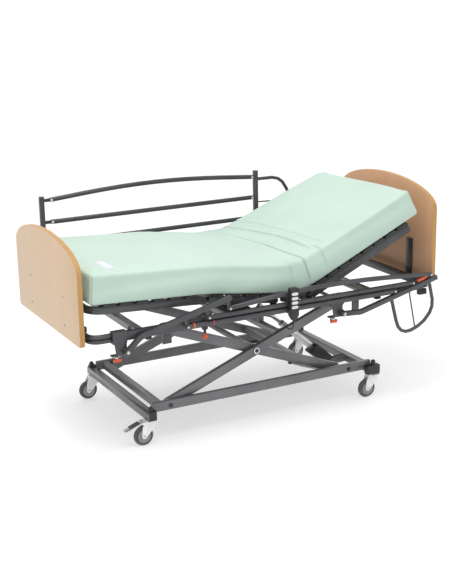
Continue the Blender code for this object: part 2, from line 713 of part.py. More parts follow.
def make_thigh():
    section = Section(THIGH_HINGE, THIGH_ANGLE, -1)
    body("thigh_section", THIGH_HINGE, "bed_frame")
    tube_v = (-0.0125, 0.0225)
    knee = THIGH_LENGTH
    solids = both_sides(lambda side: section.side_tube(side, knee - 0.022, tube_v))
    solids += [section.cross_tube(u) for u in (0.070, 0.340)]
    for side in (NEAR, FAR):
        solids.append(section.block((knee - 0.060, knee + 0.013), (-0.0105, 0.0150),
                                    (side * HINGE_PLATE_Y[0], side * HINGE_PLATE_Y[1])))
        solids.append(section.block((knee - 0.055, knee - 0.030), (-0.0090, 0.0130),
                                    (side * 0.3920, side * 0.4020)))
        solids.append(across(section.point(knee, 0), side * 0.3905, side * (SECTION_Y[1] + 0.002),
                             HINGE_PIN_R))
    solids += crank(section.point(0.070, 0), thigh_crank_pin(), THIGH_DRIVE_Y)
    solids += section.slats([0.035, 0.125, 0.215, 0.305], 0.056, (0.0205, 0.0330))
    holes = both_sides(section.hinge_hole)
    node("thigh_section_frame", welded(solids, holes), "thigh_section", grey_paint())


def knee_hinge():
    x, z = Section(THIGH_HINGE, THIGH_ANGLE, -1).point(THIGH_LENGTH, 0)
    return Vector((x, 0, z))


def leg_loop(section, v_mid, depth):
    """Side tubes and foot-end tube of the leg section bent from one length, with round corners."""
    bend, end_u = 0.070, 0.588
    y = sum(SECTION_Y) / 2
    width = SECTION_Y[1] - SECTION_Y[0]
    flat = [(0.030, -y)] + [(u, -w) for u, w in arc((end_u - bend, y - bend), bend, 90, 0, 6)]
    flat += [(u, w) for u, w in arc((end_u - bend, y - bend), bend, 0, 90, 6)] + [(0.030, y)]
    square = section.point(0, 1)
    normal = Vector((square[0] - section.hinge.x, 0, square[1] - section.hinge.z))
    points = []
    for u, w in flat:
        x, z = section.point(u, v_mid)
        points.append((x, w, z))
    return sweep(points, rounded(depth, width, 0.005), normal)


def make_leg():
    section = Section(knee_hinge(), LEG_ANGLE, -1)
    body("leg_section", knee_hinge(), "thigh_section")
    v_low, v_high = -0.0125, 0.0225
    eyes = both_sides(lambda side: section.side_tube(side, 0.050, (v_low + 0.0004, v_high - 0.0004),
                                                     0.0006))
    solids = [leg_loop(section, (v_low + v_high) / 2, v_high - v_low)] + eyes
    solids += [section.cross_tube(u) for u in (0.080, 0.330)]
    holes = both_sides(section.hinge_hole)
    node("leg_section_frame", welded(solids, holes), "leg_section", grey_paint())
    starts = [0.045 + 0.085 * i for i in range(6)]
    slats = section.slats(starts, 0.056, (0.0260, 0.0355))
    slats += section.strips((0.034, 0.540), (v_high + GAP, 0.0280))
    node("leg_slats", welded(slats), "leg_section", slat_wood())


def make_seat_slats():
    strips = [side_box(side, (0.090, 0.222), (0.400, 0.429), (0.6620 + GAP, 0.6675))
              for side in (NEAR, FAR)]
    slats = [box((x, -0.428, 0.6655), (x + 0.050, 0.428, 0.6760)) for x in (0.096, 0.166)]
    node("seat_slats", welded(strips + slats), "bed_frame", slat_wood())


def make_mattress():
    """Four blocks with sloping ends that leave room for the sections to fold."""
    width = (-MATTRESS_HALF_WIDTH, MATTRESS_HALF_WIDTH)
    edge = 0.003

    def lean(v, degrees):
        return v * math.tan(math.radians(degrees)) + edge

    back = Section(BACK_HINGE, BACK_ANGLE, 1)
    low, high = 0.0500, 0.0500 + MATTRESS_THICK
    node("mattress_back", back.shape([(lean(low, 41), low), (BACK_LENGTH, low), (BACK_LENGTH, high),
                                      (lean(high, 41), high)], width), "back_section", mint_cover())
    low, high = 0.0380, 0.0380 + MATTRESS_THICK
    seat = [(THIGH_HINGE.x + lean(low, 13), THIGH_HINGE.z + low),
            (BACK_HINGE.x - lean(low, 28), THIGH_HINGE.z + low),
            (BACK_HINGE.x - lean(high, 28), THIGH_HINGE.z + high),
            (THIGH_HINGE.x + lean(high, 13), THIGH_HINGE.z + high)]
    node("mattress_seat", plate(seat, *width), "bed_frame", mint_cover())
    thigh = Section(THIGH_HINGE, THIGH_ANGLE, -1)
    node("mattress_thigh", thigh.shape([(lean(low, 18), low), (THIGH_LENGTH - lean(low, 2.3), low),
                                        (THIGH_LENGTH - lean(high, 2.3), high), (lean(high, 18), high)],
                                       width),
         "thigh_section", mint_cover())
    leg = Section(knee_hinge(), LEG_ANGLE, -1)
    node("mattress_leg", leg.shape([(lean(low, 2.3), low), (LEG_LENGTH, low), (LEG_LENGTH, high),
                                    (lean(high, 2.3), high)], width), "leg_section", mint_cover())


# ---------------------------------------------------------------- back and thigh drives
def along_x(x_low, x_high, y, z, radius, sides):
    return rod((x_low, y, z), (x_high, y, z), radius, sides)


def drive_housing(case_x, way, sleeve_end, y, z):
    """Motor case with a sleeve that guides the push rod."""
    case = box((case_x[0], y - 0.032, z - 0.031), (case_x[1], y + 0.032, z + 0.030))
    face = case_x[1] if way > 0 else case_x[0]
    sleeve = along_x(*sorted((face - way * 0.010, sleeve_end)), y, z, 0.0170, 16)
    bore = along_x(*sorted((face + way * 0.004, sleeve_end + way * 0.010)), y, z, 0.0107, 14)
    return welded([case, sleeve], [bore])


def yoke_rod(start_x, pin_x, way, y, z):
    """Push rod that ends in a yoke with an upright slot for the crank's pin."""
    shank = along_x(*sorted((start_x, pin_x - way * 0.034)), y, z, 0.0098, 12)
    bridge_x = sorted((pin_x - way * 0.046, pin_x - way * 0.028))
    bridge = box((bridge_x[0], y - 0.0100, z - 0.015), (bridge_x[1], y + 0.0100, z + 0.015))
    cheek_x = sorted((pin_x - way * 0.044, pin_x + way * 0.014))
    cheeks = [box((cheek_x[0], y + low, z - 0.024), (cheek_x[1], y + low + 0.005, z + 0.024))
              for low in (-0.0096, 0.0046)]
    slot = link((pin_x, z - 0.011), (pin_x, z + 0.011), 0.0155, y - 0.020, y + 0.020)
    return welded([shank, bridge] + cheeks, [slot])


def make_drives():
    pin_x, _ = back_crank_pin()
    z = 0.5480
    housing = drive_housing((-0.280, -0.160), 1, 0.090, BACK_DRIVE_Y, z)
    node("back_motor_housing", housing, "bed_frame", black_plastic())
    body("back_rod", (pin_x, BACK_DRIVE_Y, z), "bed_frame")
    node("back_push_rod", yoke_rod(-0.110, pin_x, 1, BACK_DRIVE_Y, z), "back_rod", bright_steel())
    pin_x, _ = thigh_crank_pin()
    z = 0.5480
    housing = drive_housing((0.245, 0.365), -1, 0.130, THIGH_DRIVE_Y, z)
    node("leg_motor_housing", housing, "bed_frame", black_plastic())
    body("thigh_rod", (pin_x, THIGH_DRIVE_Y, z), "bed_frame")
    node("leg_push_rod", yoke_rod(0.222, pin_x, -1, THIGH_DRIVE_Y, z), "thigh_rod", bright_steel())
    node("control_box", box((-0.170, -0.270, 0.512), (-0.010, -0.160, 0.5765)), "bed_frame",
         black_plastic())


# ---------------------------------------------------------------- side rails
def post_solid(pivot_x, offsets, ear_to, y, extras):
    """Square post bent near its pivot, with an ear for each bar."""
    tube = sweep([(pivot_x + x, y, SIDE_RAIL_Z + z) for x, z in offsets], rounded(0.025, 0.025, 0.004),
                 (0, 1, 0))
    solids = [tube] + extras
    bolt_x = pivot_x + BAR_PIVOT_X
    for height in BAR_HEIGHTS:
        z = SIDE_RAIL_Z + height
        low, high = sorted((pivot_x + offsets[-1][0], bolt_x + ear_to))
        solids.append(box((low, y - 0.003, z - 0.0085), (high, y + 0.003, z + 0.0085)))
        solids.append(across((bolt_x, z), y - PIN_END, y + PIN_END, 0.0034, 10))
    hole = across((pivot_x, SIDE_RAIL_Z), y - 0.020, y + 0.020, 0.0070)
    return welded(solids, [hole])


def grip_loop(pivot_x, y):
    """D-shaped grip on the head post with a thin rod across it."""
    shape = [(0.030, 0.2940), (0.160, 0.2955)]
    shape += [(0.204, 0.3000), (0.232, 0.3150), (0.250, 0.3400), (0.2560, 0.3750), (0.2515, 0.4200)]
    shape += [(0.2370, 0.4650), (0.2090, 0.5080), (0.1800, 0.5300), (0.1420, 0.5400), (0.030, 0.5410)]
    loop = sweep([(pivot_x + x, y, SIDE_RAIL_Z + z) for x, z in shape], circle(0.0095, 10), (0, 1, 0))
    wire = rod((pivot_x + 0.030, y, SIDE_RAIL_Z + 0.409), (pivot_x + 0.2520, y, SIDE_RAIL_Z + 0.4000),
               0.004, 8)
    return [loop, wire]


def bar_solid(height, arch, y):
    """Round bar with forked, bored ends; the top bar is gently arched."""
    start = SIDE_RAIL_FOOT_X + BAR_PIVOT_X
    end = SIDE_RAIL_HEAD_X + BAR_PIVOT_X
    z = SIDE_RAIL_Z + height
    steps = 12 if arch else 1
    shoulder, nose = 0.004, 0.010
    length = end - start + 2 * shoulder
    path = [(start - nose, y, z)]
    for i in range(steps + 1):
        share = i / steps
        path.append((start - shoulder + length * share, y, z + arch * math.sin(math.pi * share)))
    path.append((end + nose, y, z))
    tube = sweep(path, circle(BAR_R, 12), (0, 1, 0), 0.6)
    cuts = []
    for x, way in ((start, 1), (end, -1)):
        low, high = sorted((x - way * 0.030, x + way * 0.020))
        cuts.append(box((low, y - 0.0036, z - 0.020), (high, y + 0.0036, z + 0.020)))
        cuts.append(across((x, z), y - 0.020, y + 0.020, 0.0042, 12))
    return welded([tube], cuts)


def side_rail(flank, side, folded):
    """Two posts on parallel pivots and three bars that stay level between them."""
    y = side * SIDE_RAIL_Y
    turn = SIDE_RAIL_FOLD if folded else 0.0
    foot_post = [(0.008, -0.016), (-0.034, 0.062), (-0.043, 0.082), (-0.0455, 0.104), (-0.0455, 0.576)]
    head_post = [(-0.005, -0.017), (0.021, 0.065), (0.0290, 0.085), (0.0320, 0.105), (0.0320, 0.590)]
    for end, pivot_x, offsets, ear_to in (("foot", SIDE_RAIL_FOOT_X, foot_post, 0.009),
                                          ("head", SIDE_RAIL_HEAD_X, head_post, -0.009)):
        name = f"{flank}_post_{end}"
        body(name, (pivot_x, y, SIDE_RAIL_Z), "bed_frame")
        extras = grip_loop(pivot_x, y) if end == "head" else []
        mesh = post_solid(pivot_x, offsets, ear_to, y, extras)
        pivot = Vector((pivot_x, y, SIDE_RAIL_Z))
        fold = Matrix.Translation(pivot) @ Matrix.Rotation(turn, 4, "Y") @ Matrix.Translation(-pivot)
        mesh.transform(fold)
        node(f"{flank}_rail_{end}_post", mesh, name, black_paint() if side == FAR else grey_paint())
    for label, height in zip(("low", "middle", "top"), BAR_HEIGHTS):
        arm = Vector((BAR_PIVOT_X, 0, height))
        shift = Matrix.Rotation(turn, 3, "Y") @ arm - arm
        mesh = bar_solid(height, BAR_ARCH if label == "top" else 0.0, y)
        mesh.transform(Matrix.Translation(shift))
        bolt = Vector((SIDE_RAIL_FOOT_X, y, SIDE_RAIL_Z)) + arm + shift
        body(f"{flank}_bar_{label}", bolt, f"{flank}_post_foot")
        node(f"{flank}_rail_{label}_bar", mesh, f"{flank}_bar_{label}",
             black_paint() if side == FAR else grey_paint())


def clamp(pivot_x, side):
    """Sleeve around the frame tube, a plate down to the post's pivot and a clamping foot."""
    x = pivot_x - 0.038
    edge = RAIL_HALF_GAUGE
    half = FRAME_TUBE[0] / 2
    sleeve = side_box(side, (x - 0.022, x + 0.050), (edge - half - 0.007, edge + half + 0.007),
                      (FRAME_Z[0] - 0.007, FRAME_Z[1] + 0.007))
    passage = side_box(side, (x - 0.100, x + 0.100), (edge - half - GAP, edge + half + GAP),
                       (FRAME_Z[0] - GAP, FRAME_Z[1] + GAP))
    relief = side_box(side, (x - 0.100, x + 0.100), (edge - half - 0.010, edge - half + 0.001),
                      (FRAME_Z[1] - 0.0035, FRAME_Z[1] + 0.010))
    outline = [(x - 0.018, 0.590), (x - 0.006, 0.512), (x + 0.030, 0.512), (x + 0.048, 0.524),
               (x + 0.046, 0.590)]
    cheek = plate(outline, *sorted((side * (edge + half + 0.0015), side * (edge + half + 0.0070))))
    lug = side_box(side, (x + 0.024, x + 0.050), (edge + half + 0.003, SIDE_RAIL_Y - 0.0130),
                   (0.5180, 0.5460))
    pin = across((pivot_x, SIDE_RAIL_Z), side * (edge + half + 0.004), side * (SIDE_RAIL_Y + PIN_END),
                 0.0060)
    foot = side_box(side, (x - 0.030, x + 0.034), (edge - 0.005, edge + half + 0.006), (0.5100, 0.5165))
    return welded([sleeve, cheek, lug, pin, foot], [passage, relief])


def clamp_knob(pivot_x, side):
    """Three-lobed hand knob on a short screw."""
    x, y = pivot_x - 0.038, side * (RAIL_HALF_GAUGE + 0.005)
    top = 0.5100 - GAP
    steps = 24
    outline = []
    for i in range(steps):
        angle = math.tau * i / steps
        reach = 0.0185 + 0.0035 * math.cos(3 * angle)
        outline.append((reach * math.cos(angle), reach * math.sin(angle)))
    head = sweep([(x, y, top - 0.028), (x, y, top - 0.014)], outline, (0, 1, 0))
    return welded([head, rod((x, y, top - 0.020), (x, y, top), 0.006, 12)])


def make_side_rails():
    for flank, side, folded in (("near", NEAR, True), ("far", FAR, False)):
        side_rail(flank, side, folded)
        for end, pivot_x in (("foot", SIDE_RAIL_FOOT_X), ("head", SIDE_RAIL_HEAD_X)):
            node(f"{flank}_{end}_clamp", clamp(pivot_x, side), "bed_frame", grey_paint())
            body(f"{flank}_{end}_knob", (pivot_x - 0.038, side * (RAIL_HALF_GAUGE + 0.005), 0.500),
                 "bed_frame")
            node(f"{flank}_{end}_clamp_knob", clamp_knob(pivot_x, side), f"{flank}_{end}_knob",
                 orange_plastic())


# ---------------------------------------------------------------- handset
def pill(width, height, steps=4):
    radius = height / 2
    reach = width / 2 - radius
    return arc((reach, 0), radius, -90, 90, steps) + arc((-reach, 0), radius, 90, 270, steps)


def make_handset():
    middle = sum(HANDSET_X) / 2
    half = (HANDSET_X[1] - HANDSET_X[0]) / 2
    low, high = HANDSET_Z
    outline = [(middle + half, high - 0.006), (middle + half - 0.006, high), (middle - half + 0.006, high),
               (middle - half, high - 0.006), (middle - half, low + 0.030),
               (middle - half * 0.45, low + 0.006),
               (middle - half * 0.15, low), (middle + half * 0.15, low),
               (middle + half * 0.45, low + 0.006),
               (middle + half, low + 0.030)]
    mouth = pill(BUTTON_SIZE[0] + 0.0010, BUTTON_SIZE[1] + 0.0010)
    pockets = [plate([(middle + x, row + z) for x, z in mouth],
                     HANDSET_Y[0] - 0.010, HANDSET_Y[0] + 0.0035) for row in BUTTON_ROWS]
    tube_face = -RAIL_HALF_GAUGE - FRAME_TUBE[0] / 2
    hook = box((0.086, HANDSET_Y[1] - 0.004, 0.5795), (0.106, tube_face - GAP, 0.5905))
    node("handset", welded([plate(outline, *HANDSET_Y), hook], pockets), "bed_frame", black_plastic())
    for number, row in enumerate(BUTTON_ROWS, start=1):
        body(f"button_{number}", (middle, BUTTON_Y[0], row), "bed_frame")
        outline = [(middle + x, row + z) for x, z in pill(*BUTTON_SIZE)]
        node(f"handset_button_{number}", plate(outline, *BUTTON_Y), f"button_{number}", grey_plastic())


def smooth_route(points, count):
    """Even points on a Catmull-Rom curve through the route's own points."""
    points = [Vector(point) for point in points]
    ends = [points[0] * 2 - points[1]] + points + [points[-1] * 2 - points[-2]]
    route = []
    spans = len(points) - 1
    for step in range(count):
        place = spans * step / (count - 1)
        span = min(int(place), spans - 1)
        t = place - span
        p0, p1, p2, p3 = ends[span:span + 4]
        route.append(0.5 * (2 * p1 + (p2 - p0) * t + (2 * p0 - 5 * p1 + 4 * p2 - p3) * t ** 2
                            + (3 * p1 - p0 - 3 * p2 + p3) * t ** 3))
    return route


HANDSET_CORD_R = 0.003
HANDSET_CORD_ROUTE = [
    (0.0960, -0.5145, 0.5517), (0.0962, -0.5140, 0.5350), (0.0975, -0.5060, 0.5130),
    (0.0990, -0.4850, 0.4990), (0.0960, -0.4600, 0.4980), (0.0880, -0.4350, 0.5090),
    (0.0760, -0.4100, 0.5260), (0.0560, -0.3800, 0.5390), (0.0260, -0.3480, 0.5450),
    (-0.0120, -0.3200, 0.5450), (-0.0400, -0.2940, 0.5440), (-0.0450, -0.2707, 0.5440),
]


def make_handset_cord():
    curve = bpy.data.curves.new("handset_cord", "CURVE")
    curve.dimensions = "3D"
    curve.bevel_depth = HANDSET_CORD_R
    curve.bevel_resolution = 2
    curve.use_fill_caps = True
    empty, pivot = BODIES["bed_frame"]
    route = smooth_route(HANDSET_CORD_ROUTE, 34)
    spline = curve.splines.new("POLY")
    spline.points.add(len(route) - 1)
    for target, point in zip(spline.points, route):
        target.co = (*(point - pivot), 1.0)
    curve.materials.append(black_plastic())
    obj = bpy.data.objects.new("handset_cord", curve)
    bpy.context.scene.collection.objects.link(obj)
    obj.parent = empty


# ---------------------------------------------------------------- assembly
def main():
    for obj in list(bpy.data.objects):
        bpy.data.objects.remove(obj)
    make_base()
    make_casters()
    make_outer_scissor()
    make_inner_scissor()
    make_lift_drive()
    make_upper_frame()
    make_board_carriers()
    make_boards()
    make_back()
    make_thigh()
    make_leg()
    make_seat_slats()
    make_mattress()
    make_drives()
    make_side_rails()
    make_handset()
    make_handset_cord()


main()
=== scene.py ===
"""Looks of the adjustable care bed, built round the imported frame.

Places are given in the CAD script's bed coordinates and moved into the shared frame by SHIFT.
"""

import json
import math

import bmesh
import bpy
import numpy as np
from mathutils import Matrix, Vector, noise
from mathutils.bvhtree import BVHTree


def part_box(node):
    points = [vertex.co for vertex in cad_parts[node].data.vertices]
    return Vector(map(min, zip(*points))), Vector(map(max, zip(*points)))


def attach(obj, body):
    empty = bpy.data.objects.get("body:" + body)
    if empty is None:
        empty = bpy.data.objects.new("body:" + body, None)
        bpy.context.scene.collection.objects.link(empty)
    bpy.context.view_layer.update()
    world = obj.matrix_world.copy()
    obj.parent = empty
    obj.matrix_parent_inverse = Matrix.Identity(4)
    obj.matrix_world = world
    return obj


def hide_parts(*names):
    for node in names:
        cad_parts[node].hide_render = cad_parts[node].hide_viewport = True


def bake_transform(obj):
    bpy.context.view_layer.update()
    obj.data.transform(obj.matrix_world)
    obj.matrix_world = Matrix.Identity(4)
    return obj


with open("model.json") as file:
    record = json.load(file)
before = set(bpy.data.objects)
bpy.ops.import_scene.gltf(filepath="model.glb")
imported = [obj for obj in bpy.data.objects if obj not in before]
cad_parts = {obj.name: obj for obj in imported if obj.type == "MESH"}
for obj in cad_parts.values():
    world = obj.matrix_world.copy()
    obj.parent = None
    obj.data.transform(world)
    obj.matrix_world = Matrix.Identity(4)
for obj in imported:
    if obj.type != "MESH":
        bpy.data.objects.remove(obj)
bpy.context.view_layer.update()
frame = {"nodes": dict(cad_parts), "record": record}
NODES = frame["nodes"]
SLOT_OF = {row["node"]: row["material_slot"] for row in frame["record"]["subparts"]}
BODY_OF = {name: body for body, names in frame["record"]["behaviour"]["bodies"].items() for name in names}

NEAR, FAR = -1.0, 1.0
SHIFT = Vector((-0.0125, 0.01635, 0.0))
BACK_ANGLE = math.radians(24.4)
THIGH_ANGLE = math.radians(7.8)
LEG_ANGLE = math.radians(3.1)
THIGH_HINGE = Vector((0.050, 0.0, 0.640))
BACK_HINGE = Vector((0.260, 0.0, 0.640))
THIGH_LENGTH = 0.400
RAIL_Y = 0.485
RAIL_Z = 0.532
RAIL_PIVOT_X = {"foot": -0.785, "head": 0.410}
BAR_HEIGHTS = {"low": 0.321, "middle": 0.438, "top": 0.555}
FOLD = {NEAR: math.radians(76.0), FAR: 0.0}
FLANK = {NEAR: "near", FAR: "far"}
CASTER_X = {"foot": -0.635, "head": 0.672}
CASTER_Y = 0.369
CASTER_BRACKET = {"foot": (0.018, 0.0235, 0.1300, 0.1780), "head": (0.056, 0.024, 0.1360, 0.1850)}
LIFT_CORD_START, LIFT_CORD_LENGTH, LIFT_CORD_Y = 0.248, 0.208, -0.3015
LIFT_CORD_SEAT, LIFT_CORD_SAG = 0.0303, 0.002
LIFT_COIL_R, LIFT_WIRE_R = 0.0043, 0.0017
HANDSET_CORD_R = 0.003
HANDSET_CORD_ROUTE = [
    (0.0960, -0.5145, 0.5517), (0.0962, -0.5140, 0.5350), (0.0975, -0.5060, 0.5130),
    (0.0990, -0.4850, 0.4990), (0.0960, -0.4600, 0.4980), (0.0880, -0.4350, 0.5090),
    (0.0760, -0.4100, 0.5260), (0.0560, -0.3800, 0.5390), (0.0260, -0.3480, 0.5450),
    (-0.0120, -0.3200, 0.5450), (-0.0400, -0.2940, 0.5440), (-0.0450, -0.2707, 0.5440),
]


# ---------------------------------------------------------------- camera, light, floor
def make_camera():
    azimuth, elevation, roll = -0.47875, 0.27634, -0.019057
    target = Vector((-0.0111, 0.0, 0.5906)) + SHIFT
    back = Vector((math.sin(azimuth) * math.cos(elevation), -math.cos(azimuth) * math.cos(elevation),
                   math.sin(elevation)))
    right = (-back).cross(Vector((0, 0, 1))).normalized()
    up = right.cross(-back)
    turned_right = right * math.cos(roll) + up * math.sin(roll)
    turned_up = up * math.cos(roll) - right * math.sin(roll)
    data = bpy.data.cameras.new("camera")
    data.sensor_width = 36.0
    data.lens = 72.995
    data.clip_end = 60.0
    camera = bpy.data.objects.new("camera", data)
    bpy.context.scene.collection.objects.link(camera)
    rotation = Matrix((turned_right, turned_up, back)).transposed()
    camera.matrix_world = Matrix.Translation(target + back * 6.2432) @ rotation.to_4x4()
    bpy.context.scene.camera = camera


def area_light(name, place, aim, size, power):
    data = bpy.data.lights.new(name, "AREA")
    data.shape = "RECTANGLE"
    data.size, data.size_y = size
    data.energy = power
    lamp = bpy.data.objects.new(name, data)
    bpy.context.scene.collection.objects.link(lamp)
    lamp.location = place
    lamp.rotation_euler = (Vector(aim) - Vector(place)).to_track_quat("-Z", "Y").to_euler()


def make_stage():
    scene = bpy.context.scene
    scene.view_settings.view_transform = "Standard"
    world = bpy.data.worlds.new("studio")
    scene.world = world
    world.use_nodes = True
    world.node_tree.nodes["Background"].inputs["Color"].default_value = (1.0, 1.0, 1.0, 1.0)
    world.node_tree.nodes["Background"].inputs["Strength"].default_value = 0.90
    area_light("key", (-1.0, -0.6, 4.6), (0, 0, 0.3), (3.4, 3.4), 122)
    mesh = bpy.data.meshes.new("floor")
    count, reach, wall = 48, 40.0, 14.0
    turns = [2 * math.pi * i / count for i in range(count)]
    rim = [(reach * math.cos(turn), reach * math.sin(turn), z) for z in (0.0, wall) for turn in turns]
    walls = [(i, count + i, count + (i + 1) % count, (i + 1) % count) for i in range(count)]
    mesh.from_pydata(rim, [], [tuple(range(count))] + walls)
    floor = bpy.data.objects.new("floor", mesh)
    scene.collection.objects.link(floor)
    look = Look("floor_white", (0.55, 0.55, 0.555), 0.85)
    look.shader.inputs["Specular IOR Level"].default_value = 0.25
    look.shader.inputs["Emission Color"].default_value = (1.0, 1.0, 1.0, 1.0)
    look.shader.inputs["Emission Strength"].default_value = 0.50
    mesh.materials.append(look.material)


# ---------------------------------------------------------------- materials
class Look:
    """A procedural material around one Principled shader."""

    def __init__(self, name, colour, roughness, metallic=0.0):
        self.material = bpy.data.materials.new(name)
        self.material.use_nodes = True
        self.tree = self.material.node_tree
        self.shader = self.tree.nodes["Principled BSDF"]
        self.shader.inputs["Base Color"].default_value = (*colour, 1.0)
        self.shader.inputs["Roughness"].default_value = roughness
        self.shader.inputs["Metallic"].default_value = metallic
        self.material.diffuse_color = (*colour, 1.0)

    def node(self, kind, **values):
        made = self.tree.nodes.new(kind)
        for key, value in values.items():
            if key in made.inputs:
                made.inputs[key].default_value = value
            else:
                setattr(made, key, value)
        return made

    def link(self, source, target):
        self.tree.links.new(source, target)

    def coordinates(self, scale=(1.0, 1.0, 1.0), rotation=(0.0, 0.0, 0.0)):
        coords = self.node("ShaderNodeTexCoord")
        mapping = self.node("ShaderNodeMapping", Scale=scale, Rotation=rotation)
        self.link(coords.outputs["Object"], mapping.inputs["Vector"])
        return mapping.outputs["Vector"]

    def noise(self, scale, detail=3.0, vector=None, roughness=0.5):
        made = self.node("ShaderNodeTexNoise", Scale=scale, Detail=detail, Roughness=roughness)
        self.link(vector or self.coordinates(), made.inputs["Vector"])
        return made.outputs["Fac"]

    def ramp(self, source, stops):
        made = self.node("ShaderNodeValToRGB")
        made.color_ramp.elements[0].position = stops[0][0]
        made.color_ramp.elements[-1].position = stops[-1][0]
        for position, _ in stops[1:-1]:
            made.color_ramp.elements.new(position)
        for element, (position, colour) in zip(made.color_ramp.elements, stops):
            element.position = position
            element.color = (*colour, 1.0)
        self.link(source, made.inputs["Fac"])
        return made.outputs["Color"]

    def span(self, source, low, high, start=0.0, end=1.0):
        """Map start..end onto low..high."""
        made = self.node("ShaderNodeMapRange")
        made.inputs["From Min"].default_value = start
        made.inputs["From Max"].default_value = end
        made.inputs["To Min"].default_value = low
        made.inputs["To Max"].default_value = high
        self.link(source, made.inputs["Value"])
        return made.outputs["Result"]

    def mix(self, factor, first, second, kind="MIX"):
        made = self.node("ShaderNodeMix", data_type="RGBA", blend_type=kind)
        if isinstance(factor, float):
            made.inputs["Factor"].default_value = factor
        else:
            self.link(factor, made.inputs["Factor"])
        for source, target in ((first, made.inputs[6]), (second, made.inputs[7])):
            if isinstance(source, tuple):
                target.default_value = (*source, 1.0)
            else:
                self.link(source, target)
        return made.outputs[2]

    def bump(self, height, strength, distance):
        made = self.node("ShaderNodeBump", Strength=strength, Distance=distance)
        self.link(height, made.inputs["Height"])
        previous = self.shader.inputs["Normal"].links
        if previous:
            self.link(previous[0].from_socket, made.inputs["Normal"])
        self.link(made.outputs["Normal"], self.shader.inputs["Normal"])


def painted_metal(name, dark, light, roughness):
    """Powder coat with fine metallic flake, a faint orange peel and rubbed patches."""
    look = Look(name, light, roughness, 0.2)
    flake = look.noise(1100.0, 2.0)
    patch = look.noise(6.0, 3.0)
    mixed = look.node("ShaderNodeMath", operation="MULTIPLY")
    look.link(flake, mixed.inputs[0])
    look.link(patch, mixed.inputs[1])
    look.link(look.ramp(mixed.outputs[0], [(0.12, dark), (0.42, light)]), look.shader.inputs["Base Color"])
    look.link(look.span(patch, roughness - 0.06, roughness + 0.08), look.shader.inputs["Roughness"])
    look.bump(look.noise(380.0, 2.0), 0.10, 0.0005)
    look.shader.inputs["Coat Weight"].default_value = 0.35
    look.shader.inputs["Coat Roughness"].default_value = 0.22
    return look.material


def bright_metal(name, colour, roughness):
    """Zinc plate: fine drawn lines and a cloudy bloom."""
    look = Look(name, colour, roughness, 0.9)
    drawn = look.noise(1.0, 3.0, look.coordinates((900.0, 90.0, 90.0)))
    patch = look.noise(35.0, 3.0)
    dull = tuple(c * 0.86 for c in colour)
    look.link(look.ramp(patch, [(0.35, dull), (0.62, colour)]), look.shader.inputs["Base Color"])
    look.link(look.span(patch, roughness + 0.10, roughness - 0.05), look.shader.inputs["Roughness"])
    look.bump(drawn, 0.05, 0.0003)
    return look.material


def plastic(name, dark, light, roughness, grain=900.0, strength=0.15):
    """Moulded plastic with a spark-eroded texture."""
    look = Look(name, light, roughness)
    patch = look.noise(12.0, 3.0)
    look.link(look.ramp(patch, [(0.3, dark), (0.7, light)]), look.shader.inputs["Base Color"])
    look.link(look.span(patch, roughness - 0.06, roughness + 0.08), look.shader.inputs["Roughness"])
    look.bump(look.noise(grain, 2.0), strength, 0.0004)
    return look.material


def rubber(name, colour, roughness=0.62):
    """Tyre rubber, dusty in places."""
    look = Look(name, colour, roughness)
    dust = look.noise(40.0, 4.0)
    lighter = tuple(min(1.0, c * 1.7 + 0.01) for c in colour)
    look.link(look.ramp(dust, [(0.35, colour), (0.75, lighter)]), look.shader.inputs["Base Color"])
    look.bump(look.noise(600.0, 2.0), 0.2, 0.0005)
    return look.material


def beech_board(name, painted_shade_tint=(1.0, 1.0, 1.0)):
    """Beech laminate with upright grain and short flecks; the edge band is yellower and plainer."""
    look = Look(name, (0.56, 0.39, 0.25), 0.36)
    streak = look.noise(1.0, 6.0, look.coordinates((30.0, 46.0, 1.6)), 0.60)
    broad = look.noise(1.0, 3.0, look.coordinates((4.0, 9.0, 0.35)), 0.5)
    fleck = look.noise(1.0, 1.0, look.coordinates((300.0, 330.0, 34.0)), 0.4)
    both = look.node("ShaderNodeMath", operation="ADD")
    look.link(look.span(streak, 0.0, 0.55), both.inputs[0])
    look.link(look.span(broad, 0.0, 0.45), both.inputs[1])
    face = look.ramp(both.outputs[0], [(0.32, (0.545, 0.385, 0.240)), (0.50, (0.575, 0.410, 0.262)),
                                       (0.68, (0.600, 0.432, 0.282))])
    face = look.mix(0.28, face, look.ramp(fleck, [(0.62, (1.0, 1.0, 1.0)), (0.76, (0.84, 0.77, 0.71))]),
                    "MULTIPLY")
    # painted shade: the tint multiplies the face colour darker, so a board of the same beech stands in
    # shade
    face = look.mix(1.0, face, look.ramp(broad, [(0.0, painted_shade_tint), (1.0, painted_shade_tint)]), "MULTIPLY")
    band = look.ramp(streak, [(0.35, (0.420, 0.235, 0.080)), (0.65, (0.470, 0.270, 0.100))])
    geometry = look.node("ShaderNodeNewGeometry")
    split = look.node("ShaderNodeSeparateXYZ")
    look.link(geometry.outputs["Normal"], split.inputs["Vector"])
    facing = look.node("ShaderNodeMath", operation="ABSOLUTE")
    look.link(split.outputs["X"], facing.inputs[0])
    on_face = look.span(facing.outputs[0], 0.0, 1.0, 0.86, 0.93)
    look.link(look.mix(on_face, band, face), look.shader.inputs["Base Color"])
    look.link(look.span(streak, 0.30, 0.42), look.shader.inputs["Roughness"])
    look.bump(streak, 0.05, 0.0005)
    look.shader.inputs["Specular IOR Level"].default_value = 0.22
    look.shader.inputs["Coat Weight"].default_value = 0.06
    look.shader.inputs["Coat Roughness"].default_value = 0.28
    return look.material


